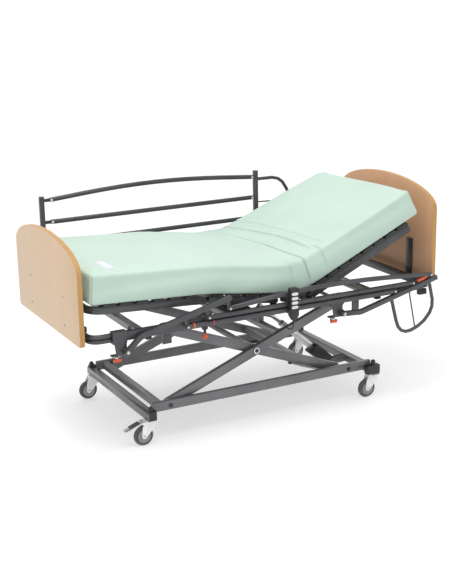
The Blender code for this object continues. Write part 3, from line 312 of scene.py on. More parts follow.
def mattress_cover():
    """Coated stretch cover: pale mint, a very fine knit under a soft sheen, small slack ripples."""
    look = Look("mint_stretch_cover", (0.60, 0.73, 0.645), 0.55)
    tone = look.noise(4.0, 3.0)
    look.link(look.ramp(tone, [(0.3, (0.415, 0.548, 0.470)), (0.7, (0.450, 0.584, 0.502))]),
              look.shader.inputs["Base Color"])
    warp = look.node("ShaderNodeTexWave", wave_type="BANDS", bands_direction="X", Scale=240.0,
                     Distortion=0.6)
    look.link(look.coordinates(), warp.inputs["Vector"])
    weft = look.node("ShaderNodeTexWave", wave_type="BANDS", bands_direction="Y", Scale=240.0,
                     Distortion=0.6)
    look.link(look.coordinates(), weft.inputs["Vector"])
    knit = look.node("ShaderNodeMath", operation="MULTIPLY")
    look.link(warp.outputs["Fac"], knit.inputs[0])
    look.link(weft.outputs["Fac"], knit.inputs[1])
    look.bump(knit.outputs[0], 0.10, 0.0003)
    look.bump(look.noise(7.0, 3.0, look.coordinates((1.0, 0.35, 1.0))), 0.22, 0.005)
    look.shader.inputs["Sheen Weight"].default_value = 0.35
    look.shader.inputs["Sheen Roughness"].default_value = 0.4
    look.shader.inputs["Specular IOR Level"].default_value = 0.60
    return look.material


def make_looks():
    return {
        "grey_powder_coat": painted_metal(
            "grey_powder_coat", (0.030, 0.031, 0.034), (0.072, 0.074, 0.079), 0.38),
        "black_powder_coat": painted_metal(
            "black_powder_coat", (0.020, 0.020, 0.022), (0.045, 0.046, 0.049), 0.40),
        # painted light: a lighter copy of the grey powder coat for the base and scissor frames, standing in
        # for light reflected from the bright floor
        "grey_coat_painted_floor_light": painted_metal("grey_coat_painted_floor_light", (0.095, 0.095, 0.101), (0.165, 0.165, 0.172), 0.36),
        "bright_steel": bright_metal("bright_steel", (0.62, 0.62, 0.63), 0.30),
        "screw_steel": bright_metal("screw_steel", (0.36, 0.36, 0.37), 0.36),
        "black_plastic": plastic("black_plastic", (0.011, 0.011, 0.012), (0.022, 0.022, 0.024), 0.40),
        "grey_plastic": plastic("grey_plastic", (0.62, 0.62, 0.62), (0.72, 0.72, 0.72), 0.35),
        "orange_plastic": plastic("orange_plastic", (0.55, 0.070, 0.016), (0.66, 0.105, 0.024), 0.30),
        "beech": beech_board("beech"),
        # painted shade: the same beech darkened and reddened for the headboard, standing in for the shade
        # on its face
        "beech_painted_shade": beech_board("beech_painted_shade", (0.90, 0.72, 0.64)),
        "tyre_rubber": rubber("tyre_rubber", (0.060, 0.060, 0.064)),
        "mint_cover": mattress_cover(),
        "slat_lacquer": plastic("slat_lacquer", (0.010, 0.010, 0.011), (0.026, 0.026, 0.028), 0.42),
        "white_zinc": plastic("white_zinc", (0.74, 0.75, 0.76), (0.82, 0.83, 0.84), 0.26, 500.0, 0.08),
        "red_plastic": plastic("red_plastic", (0.62, 0.030, 0.040), (0.74, 0.050, 0.060), 0.35),
        "label_cloth": plastic("label_cloth", (0.58, 0.59, 0.66), (0.63, 0.64, 0.71), 0.6, 700.0, 0.25),
        "rim_grey": plastic("rim_grey", (0.19, 0.19, 0.20), (0.26, 0.26, 0.27), 0.45),
    }


# ---------------------------------------------------------------- mesh helpers
def place(x, y, z):
    """A point given in bed coordinates, in the shared frame."""
    return Vector((x, y, z)) + SHIFT


def finished(bm, name):
    bmesh.ops.recalc_face_normals(bm, faces=bm.faces)
    mesh = bpy.data.meshes.new(name)
    bm.to_mesh(mesh)
    bm.free()
    return mesh


def add_lathe(bm, profile, origin, axis, sides=24):
    """Turn an open (radius, height) profile about an axis; an end at radius 0 closes to a point."""
    axis = Vector(axis).normalized()
    turn = axis.to_track_quat("Z", "Y").to_matrix()
    first, second = turn.col[0], turn.col[1]
    origin = Vector(origin)
    rings = []
    for radius, height in profile:
        if radius < 1e-6:
            rings.append([bm.verts.new(origin + axis * height)])
            continue
        ring = []
        for step in range(sides):
            angle = math.tau * step / sides
            offset = first * math.cos(angle) * radius + second * math.sin(angle) * radius
            ring.append(bm.verts.new(origin + offset + axis * height))
        rings.append(ring)
    for ring, following in zip(rings, rings[1:]):
        for k in range(sides):
            m = (k + 1) % sides
            corners = [ring[k % len(ring)], ring[m % len(ring)], following[m % len(following)],
                       following[k % len(following)]]
            bm.faces.new(list(dict.fromkeys(corners)))


def add_tube(bm, points, radius, sides=10, capped=True):
    """A round tube along points, its cross-section carried without twist; radius may be one per point."""
    points = [Vector(point) for point in points]
    radii = radius if isinstance(radius, list) else [radius] * len(points)
    tangents = [(points[min(i + 1, len(points) - 1)] - points[max(i - 1, 0)]).normalized()
                for i in range(len(points))]
    normal = tangents[0].orthogonal().normalized()
    rings = []
    for point, tangent, reach in zip(points, tangents, radii):
        normal = (normal - tangent * normal.dot(tangent)).normalized()
        side = tangent.cross(normal)
        rings.append([bm.verts.new(point + (normal * math.cos(a) + side * math.sin(a)) * reach)
                      for a in (math.tau * k / sides for k in range(sides))])
    for ring, following in zip(rings, rings[1:]):
        for k in range(sides):
            m = (k + 1) % sides
            bm.faces.new((ring[k], ring[m], following[m], following[k]))
    if capped:
        bm.faces.new(rings[0])
        bm.faces.new(rings[-1])


def add_rounded_box(bm, low, high, radius, segments=3, turn=None):
    """A box with rounded edges, optionally turned by a matrix about the frame's origin."""
    part = bmesh.new()
    bmesh.ops.create_cube(part, size=1.0)
    low, high = Vector(low), Vector(high)
    scale = Matrix.Diagonal(high - low).to_4x4()
    bmesh.ops.transform(part, matrix=Matrix.Translation((low + high) / 2) @ scale, verts=part.verts)
    bmesh.ops.bevel(part, geom=part.edges[:], offset=radius, segments=segments, profile=0.5, affect="EDGES")
    if turn:
        bmesh.ops.transform(part, matrix=turn, verts=part.verts)
    copy = bpy.data.meshes.new("box")
    part.to_mesh(copy)
    part.free()
    bm.from_mesh(copy)
    bpy.data.meshes.remove(copy)


def piece(name, mesh, look, body, smooth=40.0):
    """Put a mesh in the scene with its look, moving with a CAD body."""
    mesh.name = name
    mesh.materials.clear()
    mesh.materials.append(LOOKS[look])
    mesh.shade_smooth()
    mesh.set_sharp_from_angle(angle=math.radians(smooth))
    obj = bpy.data.objects.new(name, mesh)
    bpy.context.scene.collection.objects.link(obj)
    if body:
        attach(obj, body)
    return obj


# ---------------------------------------------------------------- CAD nodes with eased edges
def eased(source, width, segments):
    """A copy of a CAD mesh with its triangles merged into faces and its edges rounded."""
    bm = bmesh.new()
    bm.from_mesh(source)
    bmesh.ops.remove_doubles(bm, verts=bm.verts, dist=2e-5)
    bmesh.ops.dissolve_limit(bm, angle_limit=math.radians(0.6), verts=bm.verts, edges=bm.edges)
    plain = finished(bm, "plain")
    bm = bmesh.new()
    bm.from_mesh(plain)
    edges = [edge for edge in bm.edges if edge.is_manifold and edge.calc_face_angle(0.0) > math.radians(38)]
    bmesh.ops.bevel(bm, geom=edges, offset=width, segments=segments, profile=0.5, affect="EDGES",
                    clamp_overlap=True)
    rounded = finished(bm, "rounded")
    before, after = extent(plain), extent(rounded)
    if all(abs(a - b) < 0.0006 for a, b in zip(before, after)):
        bpy.data.meshes.remove(plain)
        return rounded
    bpy.data.meshes.remove(rounded)
    return plain


def extent(mesh):
    points = np.empty(len(mesh.vertices) * 3)
    mesh.vertices.foreach_get("co", points)
    points = points.reshape(-1, 3)
    return [*points.min(axis=0), *points.max(axis=0)]


def ease_nodes():
    """Stand an eased copy in for every hard CAD node that has no piece of its own."""
    widths = {"footboard": (0.0035, 3), "headboard": (0.0035, 3), "handset": (0.0030, 3),
              "control_box": (0.004, 3),
              "lift_motor_housing": (0.004, 3), "back_motor_housing": (0.003, 2),
              "leg_motor_housing": (0.003, 2)}
    own = {"handset_cord", "lift_cord", "mattress_back", "mattress_seat", "mattress_thigh", "mattress_leg"}
    for name, node in NODES.items():
        if name in own:
            continue
        width, segments = widths.get(name, (0.0009, 2))
        look = "white_zinc" if name.startswith("caster_fork") else SLOT_OF[name]
        # painted light: the base and scissor frames take the lighter copy of the powder coat
        if name in ("base_frame", "scissor_inner_frame", "scissor_outer_frame"):
            look = "grey_coat_painted_floor_light"
        # painted shade: the headboard takes the darkened copy of the beech
        if name == "headboard":
            look = "beech_painted_shade"
        mesh = eased(node.data, width, segments)
        obj = piece(name + "_shaped", mesh, look, BODY_OF[name])
        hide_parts(name)


# ---------------------------------------------------------------- mattress
MATTRESS_HALF = 0.4365
MATTRESS_THICK = 0.145
MATTRESS_ENDS = (-0.997, 0.9365)       # along the underside line, from the thigh hinge
MATTRESS_EDGE = 0.016
KNEE_CUT, SEAT_CUT = -0.200, 0.105
BACK_CORNER = (BACK_HINGE - THIGH_HINGE).x
EASES = ((-THIGH_LENGTH, 0.060, LEG_ANGLE - THIGH_ANGLE), (0.0, 0.070, THIGH_ANGLE),
         (BACK_CORNER, 0.100, BACK_ANGLE))
CORNERS = ((-1, -1, 0.030), (-1, 1, 0.034), (1, -1, 0.016), (1, 1, 0.050))     # end, side, radius
# Folds across the back hinge: points on the top (along the bed, across), depth,
# reach down the near side, slant there.
FOLDS = (
    (((0.078, 0.435), (0.091, 0.398), (0.159, 0.197), (0.190, -0.058), (0.196, -0.273), (0.206, -0.414),
      (0.207, -0.435)), 0.0102, 0.150, 0.14),
    (((0.198, 0.435), (0.203, 0.422), (0.245, 0.194), (0.275, -0.037), (0.280, -0.213), (0.276, -0.356)),
     0.0086, 0.0, 0.0),
    (((0.296, -0.345), (0.302, -0.435)), 0.0066, 0.125, -0.07),
    (((0.274, 0.435), (0.278, 0.406), (0.294, 0.307), (0.311, 0.111), (0.326, -0.076), (0.334, -0.263),
      (0.345, -0.399)), 0.0046, 0.0, 0.0),
    (((0.088, -0.258), (0.107, -0.365), (0.122, -0.419), (0.125, -0.435)), 0.0060, 0.135, 0.18),
    (((0.046, -0.425), (0.048, -0.435)), 0.0022, 0.060, 0.70),
)


def smooth(t):
    t = min(max(t, 0.0), 1.0)
    return t * t * (3 - 2 * t)


def heading(along):
    """Slope of the platform line at a distance from the thigh hinge, with each corner eased."""
    slope = -LEG_ANGLE
    for corner, reach, turn in EASES:
        slope += turn * min(max((along - corner + reach) / (2 * reach), 0.0), 1.0)
    return slope


def platform_line(step=0.002):
    """Points (along, x, z) of the platform line, level with the seat between the hinges."""
    start, stop = MATTRESS_ENDS[0] - 0.02, MATTRESS_ENDS[1] + 0.02
    alongs = np.arange(start, stop, step)
    slopes = np.array([heading(a + step / 2) for a in alongs])
    x = np.concatenate([[0.0], np.cumsum(np.cos(slopes) * step)])
    z = np.concatenate([[0.0], np.cumsum(np.sin(slopes) * step)])
    alongs = np.append(alongs, stop)
    middle = 0.088
    x += THIGH_HINGE.x + middle - np.interp(middle, alongs, x)
    z += THIGH_HINGE.z - np.interp(middle, alongs, z)
    return alongs, x, z


def on_platform(line, along, across, height):
    """A point above the platform line in the shared frame."""
    alongs, xs, zs = line
    lift = 0.038 + 0.012 * smooth((along - 0.10) / 0.22) + height
    slope = heading(along)
    x = np.interp(along, alongs, xs) - lift * math.sin(slope)
    z = np.interp(along, alongs, zs) + lift * math.cos(slope)
    return place(x, across, z)


def spaced(low, high, step):
    """Stations with close ones at both ends, for a rounded edge."""
    near = [0.0, 0.0035, 0.0085, 0.016]
    count = max(1, round((high - low - 2 * near[-1]) / step))
    inner = [low + near[-1] + (high - low - 2 * near[-1]) * i / count for i in range(count + 1)]
    return [low + n for n in near[:-1]] + inner + [high - n for n in reversed(near[:-1])]


def mattress_stations():
    """Stations along the mattress: fine across the back hinge, with one on each cut."""
    low, high = MATTRESS_ENDS
    marks = [low + 0.016, KNEE_CUT, -0.01, SEAT_CUT, 0.40, high - 0.016]
    steps = [0.015, 0.015, 0.0036, 0.0031, 0.015]
    stations = [low, low + 0.0035, low + 0.0085]
    for a, b, step in zip(marks, marks[1:], steps):
        count = round((b - a) / step)
        stations += [a + (b - a) * i / count for i in range(count)]
    return stations + [high - 0.016, high - 0.0085, high - 0.0035, high]


def mattress_shell():
    """Grid mesh of a rounded block: (vertices as (along, across, height), faces as index tuples)."""
    us = mattress_stations()
    vs = spaced(-MATTRESS_HALF, MATTRESS_HALF, 0.015)
    hs = spaced(0, MATTRESS_THICK, 0.014)
    index, points, faces = {}, [], []

    def vertex(i, j, k):
        key = (i, j, k)
        if key not in index:
            index[key] = len(points)
            points.append((us[i], vs[j], hs[k]))
        return index[key]

    def skin(first, second, fixed, order):
        for a in range(len(first) - 1):
            for b in range(len(second) - 1):
                corners = ((a, b), (a + 1, b), (a + 1, b + 1), (a, b + 1))
                faces.append(tuple(vertex(*order(p, q, fixed)) for p, q in corners))

    for k in (0, len(hs) - 1):
        skin(us, vs, k, lambda p, q, f: (p, q, f))
    for j in (0, len(vs) - 1):
        skin(us, hs, j, lambda p, q, f: (p, f, q))
    for i in (0, len(us) - 1):
        skin(vs, hs, i, lambda p, q, f: (f, p, q))
    points = np.array(points)
    low = np.array([MATTRESS_ENDS[0], -MATTRESS_HALF, 0.0]) + MATTRESS_EDGE
    high = np.array([MATTRESS_ENDS[1], MATTRESS_HALF, MATTRESS_THICK]) - MATTRESS_EDGE
    core = np.clip(points, low, high)
    away = points - core
    length = np.linalg.norm(away, axis=1)
    edge = length > 1e-9
    points[edge] = core[edge] + away[edge] / length[edge, None] * MATTRESS_EDGE
    return points, faces


def swell(mesh, held, cap):
    """Let a pressurised cover settle over the block; no point moves further than about cap."""
    obj = bpy.data.objects.new("swell", mesh)
    bpy.context.scene.collection.objects.link(obj)
    group = obj.vertex_groups.new(name="held")
    for weight in sorted(set(held)):
        group.add([i for i, w in enumerate(held) if w == weight], weight, "REPLACE")
    modifier = obj.modifiers.new("cover", "CLOTH")
    settings = modifier.settings
    settings.quality = 4
    settings.mass = 0.25
    settings.tension_stiffness = 18.0
    settings.compression_stiffness = 12.0
    settings.shear_stiffness = 6.0
    settings.bending_stiffness = 0.8
    settings.use_pressure = True
    settings.uniform_pressure_force = 1.6
    settings.vertex_group_mass = "held"
    settings.effector_weights.gravity = 0.0
    modifier.point_cache.frame_start = 1
    modifier.point_cache.frame_end = 14
    scene = bpy.context.scene
    for number in range(1, 15):
        scene.frame_set(number)
    graph = bpy.context.evaluated_depsgraph_get()
    settled = obj.evaluated_get(graph).to_mesh()
    before = np.empty(len(mesh.vertices) * 3)
    after = np.empty(len(mesh.vertices) * 3)
    mesh.vertices.foreach_get("co", before)
    settled.vertices.foreach_get("co", after)
    move = (after - before).reshape(-1, 3)
    reach = np.linalg.norm(move, axis=1)
    move *= (cap * np.tanh(reach / cap) / np.maximum(reach, 1e-9))[:, None]
    scene.frame_set(1)
    bpy.data.objects.remove(obj)
    return before.reshape(-1, 3) + move


def top_station(line, x):
    """The station whose point on the mattress top lies at x in bed coordinates."""
    stations = np.arange(-0.25, 0.55, 0.005)
    tops = [(on_platform(line, s, 0.0, MATTRESS_THICK) - SHIFT).x for s in stations]
    return float(np.interp(x, tops, stations))


def make_folds(line):
    """Each fold as (stations, sides, depth, down, slant), ordered across the bed."""
    folds = []
    for route, depth, down, slant in FOLDS:
        order = sorted(route, key=lambda point: point[1])
        folds.append(([top_station(line, x) for x, _ in order], [y for _, y in order], depth, down, slant))
    return folds


def fold_depth(folds, along, across, height):
    """How far the cover is drawn in by the folds: a narrow valley between two low swells."""
    total = 0.0
    below = max(MATTRESS_THICK - 0.010 - height, 0.0)
    for stations, sides, depth, down, slant in folds:
        if not sides[0] - 0.05 < across < sides[-1] + 0.05:
            continue
        centre = float(np.interp(across, sides, stations)) + slant * below
        gap = along - centre
        if abs(gap) > 0.06:
            continue
        fade = 1.0
        if below > 0.0:
            fade = 1.0 - smooth((below - 0.4 * down) / (0.6 * down)) if down and across < 0 else 0.0
        low = 1.0 if sides[0] < -0.43 else smooth((across - sides[0] + 0.05) / 0.10)
        high = 1.0 if sides[-1] > 0.43 else smooth((sides[-1] + 0.05 - across) / 0.10)
        valley = math.exp(-(gap / 0.0052) ** 2)
        swell_up = 0.34 * math.exp(-((gap - 0.013) / 0.009) ** 2)
        swell_up += 0.30 * math.exp(-((gap + 0.014) / 0.010) ** 2)
        total += depth * fade * low * high * (valley - swell_up)
    return total


def settle(points):
    """Rounded corners in plan, and a top that has sunk a little at the far head corner."""
    shaped = points.copy()
    for way, side, radius in CORNERS:
        end = MATTRESS_ENDS[1] if way > 0 else MATTRESS_ENDS[0]
        corner = np.array([end - way * radius, side * (MATTRESS_HALF - radius)])
        out = (shaped[:, :2] - corner) * np.array([way, side])
        inside = (out[:, 0] > 0) & (out[:, 1] > 0)
        most = out[inside].max(axis=1)
        out[inside] *= (most / np.maximum(np.hypot(*out[inside].T), 1e-9))[:, None]
        shaped[inside, :2] = corner + out[inside] * np.array([way, side])
    run = np.clip((points[:, 0] - 0.40) / 0.5365, 0, 1)
    over = np.clip((points[:, 1] + 0.30) / 0.72, 0, 1)
    sink = 0.026 * run ** 1.7 * over ** 2 * (3 - 2 * over)
    shaped[:, 2] -= sink * points[:, 2] / MATTRESS_THICK
    return shaped


def make_mattress():
    """One soft block over all four sections, cut where it rides rigidly on a section."""
    line = platform_line()
    flat, faces = mattress_shell()
    mesh = bpy.data.meshes.new("mattress")
    mesh.from_pydata([on_platform(line, *point) for point in settle(flat)], [], faces)
    bm = bmesh.new()
    bm.from_mesh(mesh)
    bmesh.ops.recalc_face_normals(bm, faces=bm.faces)
    bm.to_mesh(mesh)
    bm.free()
    held = [1.0 if height < 0.02 else 0.0 for _, _, height in flat]
    mesh.vertices.foreach_set("co", swell(mesh.copy(), held, 0.007).ravel())
    mesh.update()
    folds = make_folds(line)
    normals = [vertex.normal.copy() for vertex in mesh.vertices]
    for vertex, normal, (along, across, height) in zip(mesh.vertices, normals, flat):
        inward = fold_depth(folds, along, across, height) if -0.1 < along < 0.5 and height > 0.006 else 0.0
        ripple = noise.noise(Vector((along * 5.0, across * 9.0, height * 14.0)))
        inward += 0.0012 * ripple if height > 0.01 else 0.0
        vertex.co -= normal * inward
    mesh.update()
    surface = BVHTree.FromPolygons([v.co.copy() for v in mesh.vertices],
                                   [tuple(p.vertices) for p in mesh.polygons])
    ends = ((-9.0, KNEE_CUT), (KNEE_CUT, SEAT_CUT), (SEAT_CUT, 9.0))
    bends = (("leg_section", "thigh_section", -0.520, -0.280),
             ("thigh_section", "bed_frame", -0.140, 0.085),
             ("bed_frame", "back_section", 0.150, 0.440))
    stands = (("mattress_leg",), ("mattress_thigh", "mattress_seat"), ("mattress_back",))
    names = ("mattress_leg_part", "mattress_seat_part", "mattress_back_part")
    for name, (low, high), (first, second, start, stop), nodes in zip(names, ends, bends, stands):
        obj = mattress_piece(name, mesh, flat, low, high)
        middle = 0.5 * MATTRESS_THICK
        on_platform(line, start, 0.0, middle)
        on_platform(line, stop, 0.0, middle)
        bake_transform(obj)
        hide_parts(*nodes)
    return line, surface


def mattress_piece(name, whole, flat, low, high):
    """The faces between two stations, closed at the cuts, shaded with the whole mattress's normals."""
    inside = (flat[:, 0] >= low - 1e-6) & (flat[:, 0] <= high + 1e-6)
    chosen = [tuple(face.vertices) for face in whole.polygons if all(inside[list(face.vertices)])]
    used = sorted({index for face in chosen for index in face})
    order = {index: place_in for place_in, index in enumerate(used)}
    mesh = bpy.data.meshes.new(name)
    mesh.from_pydata([whole.vertices[index].co for index in used], [],
                     [[order[i] for i in f] for f in chosen])
    bm = bmesh.new()
    bm.from_mesh(mesh)
    open_edges = [edge for edge in bm.edges if edge.is_boundary]
    bmesh.ops.holes_fill(bm, edges=open_edges, sides=0)
    bmesh.ops.recalc_face_normals(bm, faces=bm.faces)
    bm.to_mesh(mesh)
    bm.free()
    obj = piece(name, mesh, "mint_cover", None, 60.0)
    mesh.normals_split_custom_set_from_vertices([whole.vertices[index].normal for index in used])
    return obj


def make_label(line, surface):
    """Small blank cloth label sewn on top near the foot end."""
    centre = place(-0.800, -0.285, 1.0)
    bm = bmesh.new()
    columns, rows = 7, 15
    size = (0.046, 0.150)
    grid = []
    for i in range(columns):
        for j in range(rows):
            a, b = i / (columns - 1) - 0.5, j / (rows - 1) - 0.5
            corner = 1.0 - 0.03 * (abs(a) * abs(b) * 4) ** 4
            start = centre + Vector((a * size[0] * corner, b * size[1] * corner, 0))
            hit = surface.ray_cast(start, Vector((0, 0, -1)))[0]
            edge = max(abs(a), abs(b)) > 0.49
            grid.append(bm.verts.new(hit + Vector((0, 0, 0.0003 if edge else 0.0010))))
    for i in range(columns - 1):
        for j in range(rows - 1):
            bm.faces.new((grid[i * rows + j], grid[(i + 1) * rows + j], grid[(i + 1) * rows + j + 1],
                          grid[i * rows + j + 1]))
    mesh = finished(bm, "label")
    if mesh.polygons[0].normal.z < 0:
        mesh.flip_normals()
    piece("mattress_label", mesh, "label_cloth", "leg_section")


# ---------------------------------------------------------------- small fittings
BATCHES = {}


def batch(body, look):
    """The mesh that gathers every small fitting of one look on one body."""
    return BATCHES.setdefault((body, look), bmesh.new())


def place_batches():
    for (body, look), bm in BATCHES.items():
        piece(f"{body}_fittings_{look}", finished(bm, "fittings"), look, body, 35.0)


def add_dome(bm, origin, axis, radius, height, sides=20):
    """A screw head or cap: a short rim under a shallow dome."""
    profile = [(0.0, 0.0), (radius, 0.0), (radius, height * 0.4), (radius * 0.93, height * 0.7),
               (radius * 0.6, height * 0.95), (0.0, height)]
    add_lathe(bm, profile, origin, axis, sides)


def add_hex(bm, origin, axis, radius, height):
    """A hexagon head on its washer."""
    add_lathe(bm, [(0.0, 0.0), (radius * 1.35, 0.0), (radius * 1.35, 0.0012), (0.0, 0.0012)], origin, axis,
              20)
    top = Vector(origin) + Vector(axis).normalized() * 0.0011
    profile = [(0.0, 0.0), (radius, 0.0), (radius, height * 0.8), (radius * 0.85, height), (0.0, height)]
    add_lathe(bm, profile, top, axis, 6)


def add_ring(bm, origin, axis, inner, outer, width):
    """A plain ring with rounded outer corners."""
    soft = (outer - inner) * 0.35
    profile = [(inner, 0.0), (outer - soft, 0.0), (outer, soft), (outer, width - soft),
               (outer - soft, width),
               (inner, width), (inner, 0.0)]
    add_lathe(bm, profile, origin, axis, 28)


def board_screws():
    for y in (-0.234, 0.234):
        for z in (0.630, 0.770):
            add_dome(batch("bed_frame", "screw_steel"), place(-0.996, y, z), (-1, 0, 0), 0.0055, 0.0024)
        for z in (0.647, 0.789):
            add_dome(batch("bed_frame", "screw_steel"), place(1.021, y, z), (1, 0, 0), 0.0055, 0.0024)


def caster_trim():
    for end, x in CASTER_X.items():
        for side in (NEAR, FAR):
            flank, y = FLANK[side], side * CASTER_Y
            wheel = batch(f"wheel_{end}_{flank}", "rim_grey")
            fork = batch(f"caster_{end}_{flank}", "bright_steel")
            for way in (-1, 1):
                hub = [(0.0, 0.0), (0.0345, 0.0), (0.0345, 0.0004), (0.0310, 0.0008), (0.0, 0.0008)]
                add_lathe(wheel, hub, place(x - 0.037, y + way * 0.0139, 0.050), (0, way, 0), 32)
                add_hex(fork, place(x - 0.037, y + way * 0.0180, 0.050), (0, way, 0), 0.0052, 0.0036)
            trim = batch("base", "black_plastic")
            low, high = sorted((side * 0.3735, side * 0.4078))
            left, right, bottom, top = CASTER_BRACKET[end]
            add_rounded_box(trim, place(x - left, low, bottom), place(x + right, high, top), 0.004)
            cap = [(0.0, 0.0), (0.0125, 0.0), (0.0128, 0.014), (0.0112, 0.0215), (0.0064, 0.0262),
                   (0.0, 0.0275)]
            dome_x, seat = (x - 0.003, 0.1720) if end == "foot" else (x - 0.009, 0.1840)
            add_lathe(trim, cap, place(dome_x, side * 0.389, seat), (0, 0, 1), 24)
    for side in (NEAR, FAR):
        for x in (-0.52, 0.52):
            add_hex(batch("base", "black_plastic"), place(x, side * 0.3718, 0.178), (0, side, 0), 0.0085,
                    0.0075)


def scissor_trim():
    for side in (NEAR, FAR):
        face = place(-0.022, side * 0.3464, 0.367)
        add_ring(batch("scissor_outer", "white_zinc"), face, (0, side, 0), 0.0112, 0.0165, 0.0030)
        add_dome(batch("scissor_outer", "black_plastic"), face, (0, side, 0), 0.0112, 0.0052, 28)


def rail_trim():
    for side in (NEAR, FAR):
        flank = FLANK[side]
        turn = Matrix.Rotation(FOLD[side], 3, "Y")
        for end, pivot_x in RAIL_PIVOT_X.items():
            pivot = Vector((pivot_x, side * RAIL_Y, RAIL_Z))
            bolts = batch(f"{flank}_post_{end}", "bright_steel")
            for height in BAR_HEIGHTS.values():
                point = pivot + turn @ Vector((0.005, 0, height)) + SHIFT
                add_dome(bolts, point + Vector((0, side * 0.0128, 0)), (0, side, 0), 0.0058, 0.0024, 18)
                add_hex(bolts, point + Vector((0, -side * 0.0128, 0)), (0, -side, 0), 0.0058, 0.0035)
            hub = pivot + Vector((0, side * 0.0132, 0)) + SHIFT
            add_hex(batch("bed_frame", "bright_steel"), hub, (0, side, 0), 0.0062, 0.0040)
            knob = batch(f"{flank}_{end}_knob", "bright_steel")
            x = pivot_x - 0.038
            washer = place(x, side * 0.445, 0.4955)
            add_lathe(knob, [(0.0, 0.0), (0.0105, 0.0), (0.0095, 0.008), (0.0072, 0.0105), (0.0, 0.0105)],
                      washer, (0, 0, 1), 20)
            add_dome(knob, place(x, side * 0.445, 0.4817), (0, 0, -1), 0.0065, 0.003, 16)
    low_bar = Vector((0.0, NEAR * RAIL_Y, RAIL_Z)) + Matrix.Rotation(FOLD[NEAR], 3, "Y") @ Vector(
        (0.005, 0, BAR_HEIGHTS["low"])) + SHIFT
    add_ring(batch("near_bar_low", "orange_plastic"), (place(-0.4435, 0, 0).x, low_bar.y, low_bar.z),
             (1, 0, 0),
             0.0120, 0.0156, 0.0085)
    add_ring(batch("near_bar_low", "red_plastic"), (place(-0.3360, 0, 0).x, low_bar.y, low_bar.z),
             (1, 0, 0),
             0.0120, 0.0146, 0.0040)


def latch_trim():
    """Release lever on the folded rail's head post, and the spring latch under the frame tube."""
    slope = FOLD[NEAR] - math.radians(90.0)
    seat = place(0.885, NEAR * 0.4925, 0.6480)
    tilt = Matrix.Translation(seat) @ Matrix.Rotation(slope, 4, "Y")
    lever = batch("near_post_head", "orange_plastic")
    add_rounded_box(lever, (-0.024, -0.0085, -0.0075), (0.018, 0.0085, 0.0065), 0.0035, turn=tilt)
    add_rounded_box(lever, (0.012, -0.0070, -0.0030), (0.036, 0.0070, 0.0060), 0.0028, turn=tilt)
    frame_black = batch("bed_frame", "black_plastic")
    add_rounded_box(frame_black, place(-0.384, -0.4720, 0.5705), place(-0.356, -0.4548, 0.6020), 0.0025)
    grip = [(0.0, 0.0), (0.0085, 0.0), (0.0085, -0.004), (0.0070, -0.006), (0.0070, -0.020), (0.0, -0.020)]
    add_lathe(frame_black, [(r, -h) for r, h in grip], place(-0.370, -0.4635, 0.5710), (0, 0, -1), 20)
    handle = [(0.0, 0.0), (0.0062, 0.0), (0.0080, 0.006), (0.0100, 0.012), (0.0138, 0.020), (0.0140, 0.025),
              (0.0095, 0.0290), (0.0, 0.0300)]
    add_lathe(batch("bed_frame", "orange_plastic"), handle, place(-0.370, -0.4635, 0.5525), (0, 0, -1), 24)


def pedal_trim():
    """Ribbed rubber pad on the brake pedal."""
    x, y = CASTER_X["foot"], NEAR * CASTER_Y
    tilt = Matrix.Translation(place(x - 0.084, y, 0.1124)) @ Matrix.Rotation(-math.atan(0.369), 4, "Y")
    pad = batch("brake", "tyre_rubber")
    add_rounded_box(pad, (-0.027, -0.0178, -0.001), (0.027, 0.0178, 0.0022), 0.001, 2, tilt)
    for step in range(8):
        start = -0.0235 + 0.0062 * step
        add_rounded_box(pad, (start, -0.0160, 0.0012), (start + 0.0028, 0.0160, 0.0036), 0.0008, 2, tilt)


def frame_trim():
    trim = batch("bed_frame", "black_plastic")
    add_lathe(trim, [(0.0, 0.0), (0.0075, 0.0), (0.0075, 0.012), (0.0058, 0.0135), (0.0058, 0.0205),
                     (0.0, 0.0225)],
              place(-0.754, -0.447, 0.6218), (0, 0, 1), 18)
    for side in (NEAR, FAR):
        low, high = sorted((side * 0.427, side * 0.453))
        add_rounded_box(trim, place(-0.673, low, 0.5630), place(-0.643, high, 0.5775), 0.0035)
        add_rounded_box(trim, place(0.630, low, 0.5640), place(0.662, high, 0.5775), 0.0035)
        add_rounded_box(trim, place(0.906, low, 0.5460), place(0.958, high, 0.5775), 0.0060)
    add_rounded_box(trim, place(-0.9695, -0.4320, 0.6430), place(-0.9570, -0.4080, 0.6680), 0.0035)


def slat_holders():
    """Rubber shoes that hold the slats' ends on the section frames."""
    def shoe(body, origin, slope, start, width, low, high):
        for side in (NEAR, FAR):
            tilt = Matrix.Translation(place(origin[0], 0, origin[1])) @ Matrix.Rotation(-slope, 4, "Y")
            inner, outer = sorted((side * 0.4050, side * 0.4298))
            add_rounded_box(batch(body, "black_plastic"), (start - 0.003, inner, low - 0.0012),
                            (start + width + 0.003, outer, high + 0.0012), 0.0012, 2, tilt)

    back = (BACK_HINGE.x, BACK_HINGE.z)
    knee = (THIGH_HINGE.x - THIGH_LENGTH * math.cos(THIGH_ANGLE),
            THIGH_HINGE.z + THIGH_LENGTH * math.sin(THIGH_ANGLE))
    for i in range(8):
        shoe("back_section", back, BACK_ANGLE, 0.045 + 0.077 * i, 0.056, 0.0345, 0.0445)
    for i in range(6):
        shoe("leg_section", knee, -LEG_ANGLE, -0.045 - 0.085 * i - 0.056, 0.056, 0.0260, 0.0355)
    for start in (0.035, 0.125, 0.215, 0.305):
        shoe("thigh_section", (THIGH_HINGE.x, THIGH_HINGE.z), -THIGH_ANGLE, -start - 0.056, 0.056, 0.0205,
             0.0330)
    for x in (0.096, 0.166):
        shoe("bed_frame", (0.0, 0.0), 0.0, x - 0.025, 0.050, 0.6655, 0.6760)


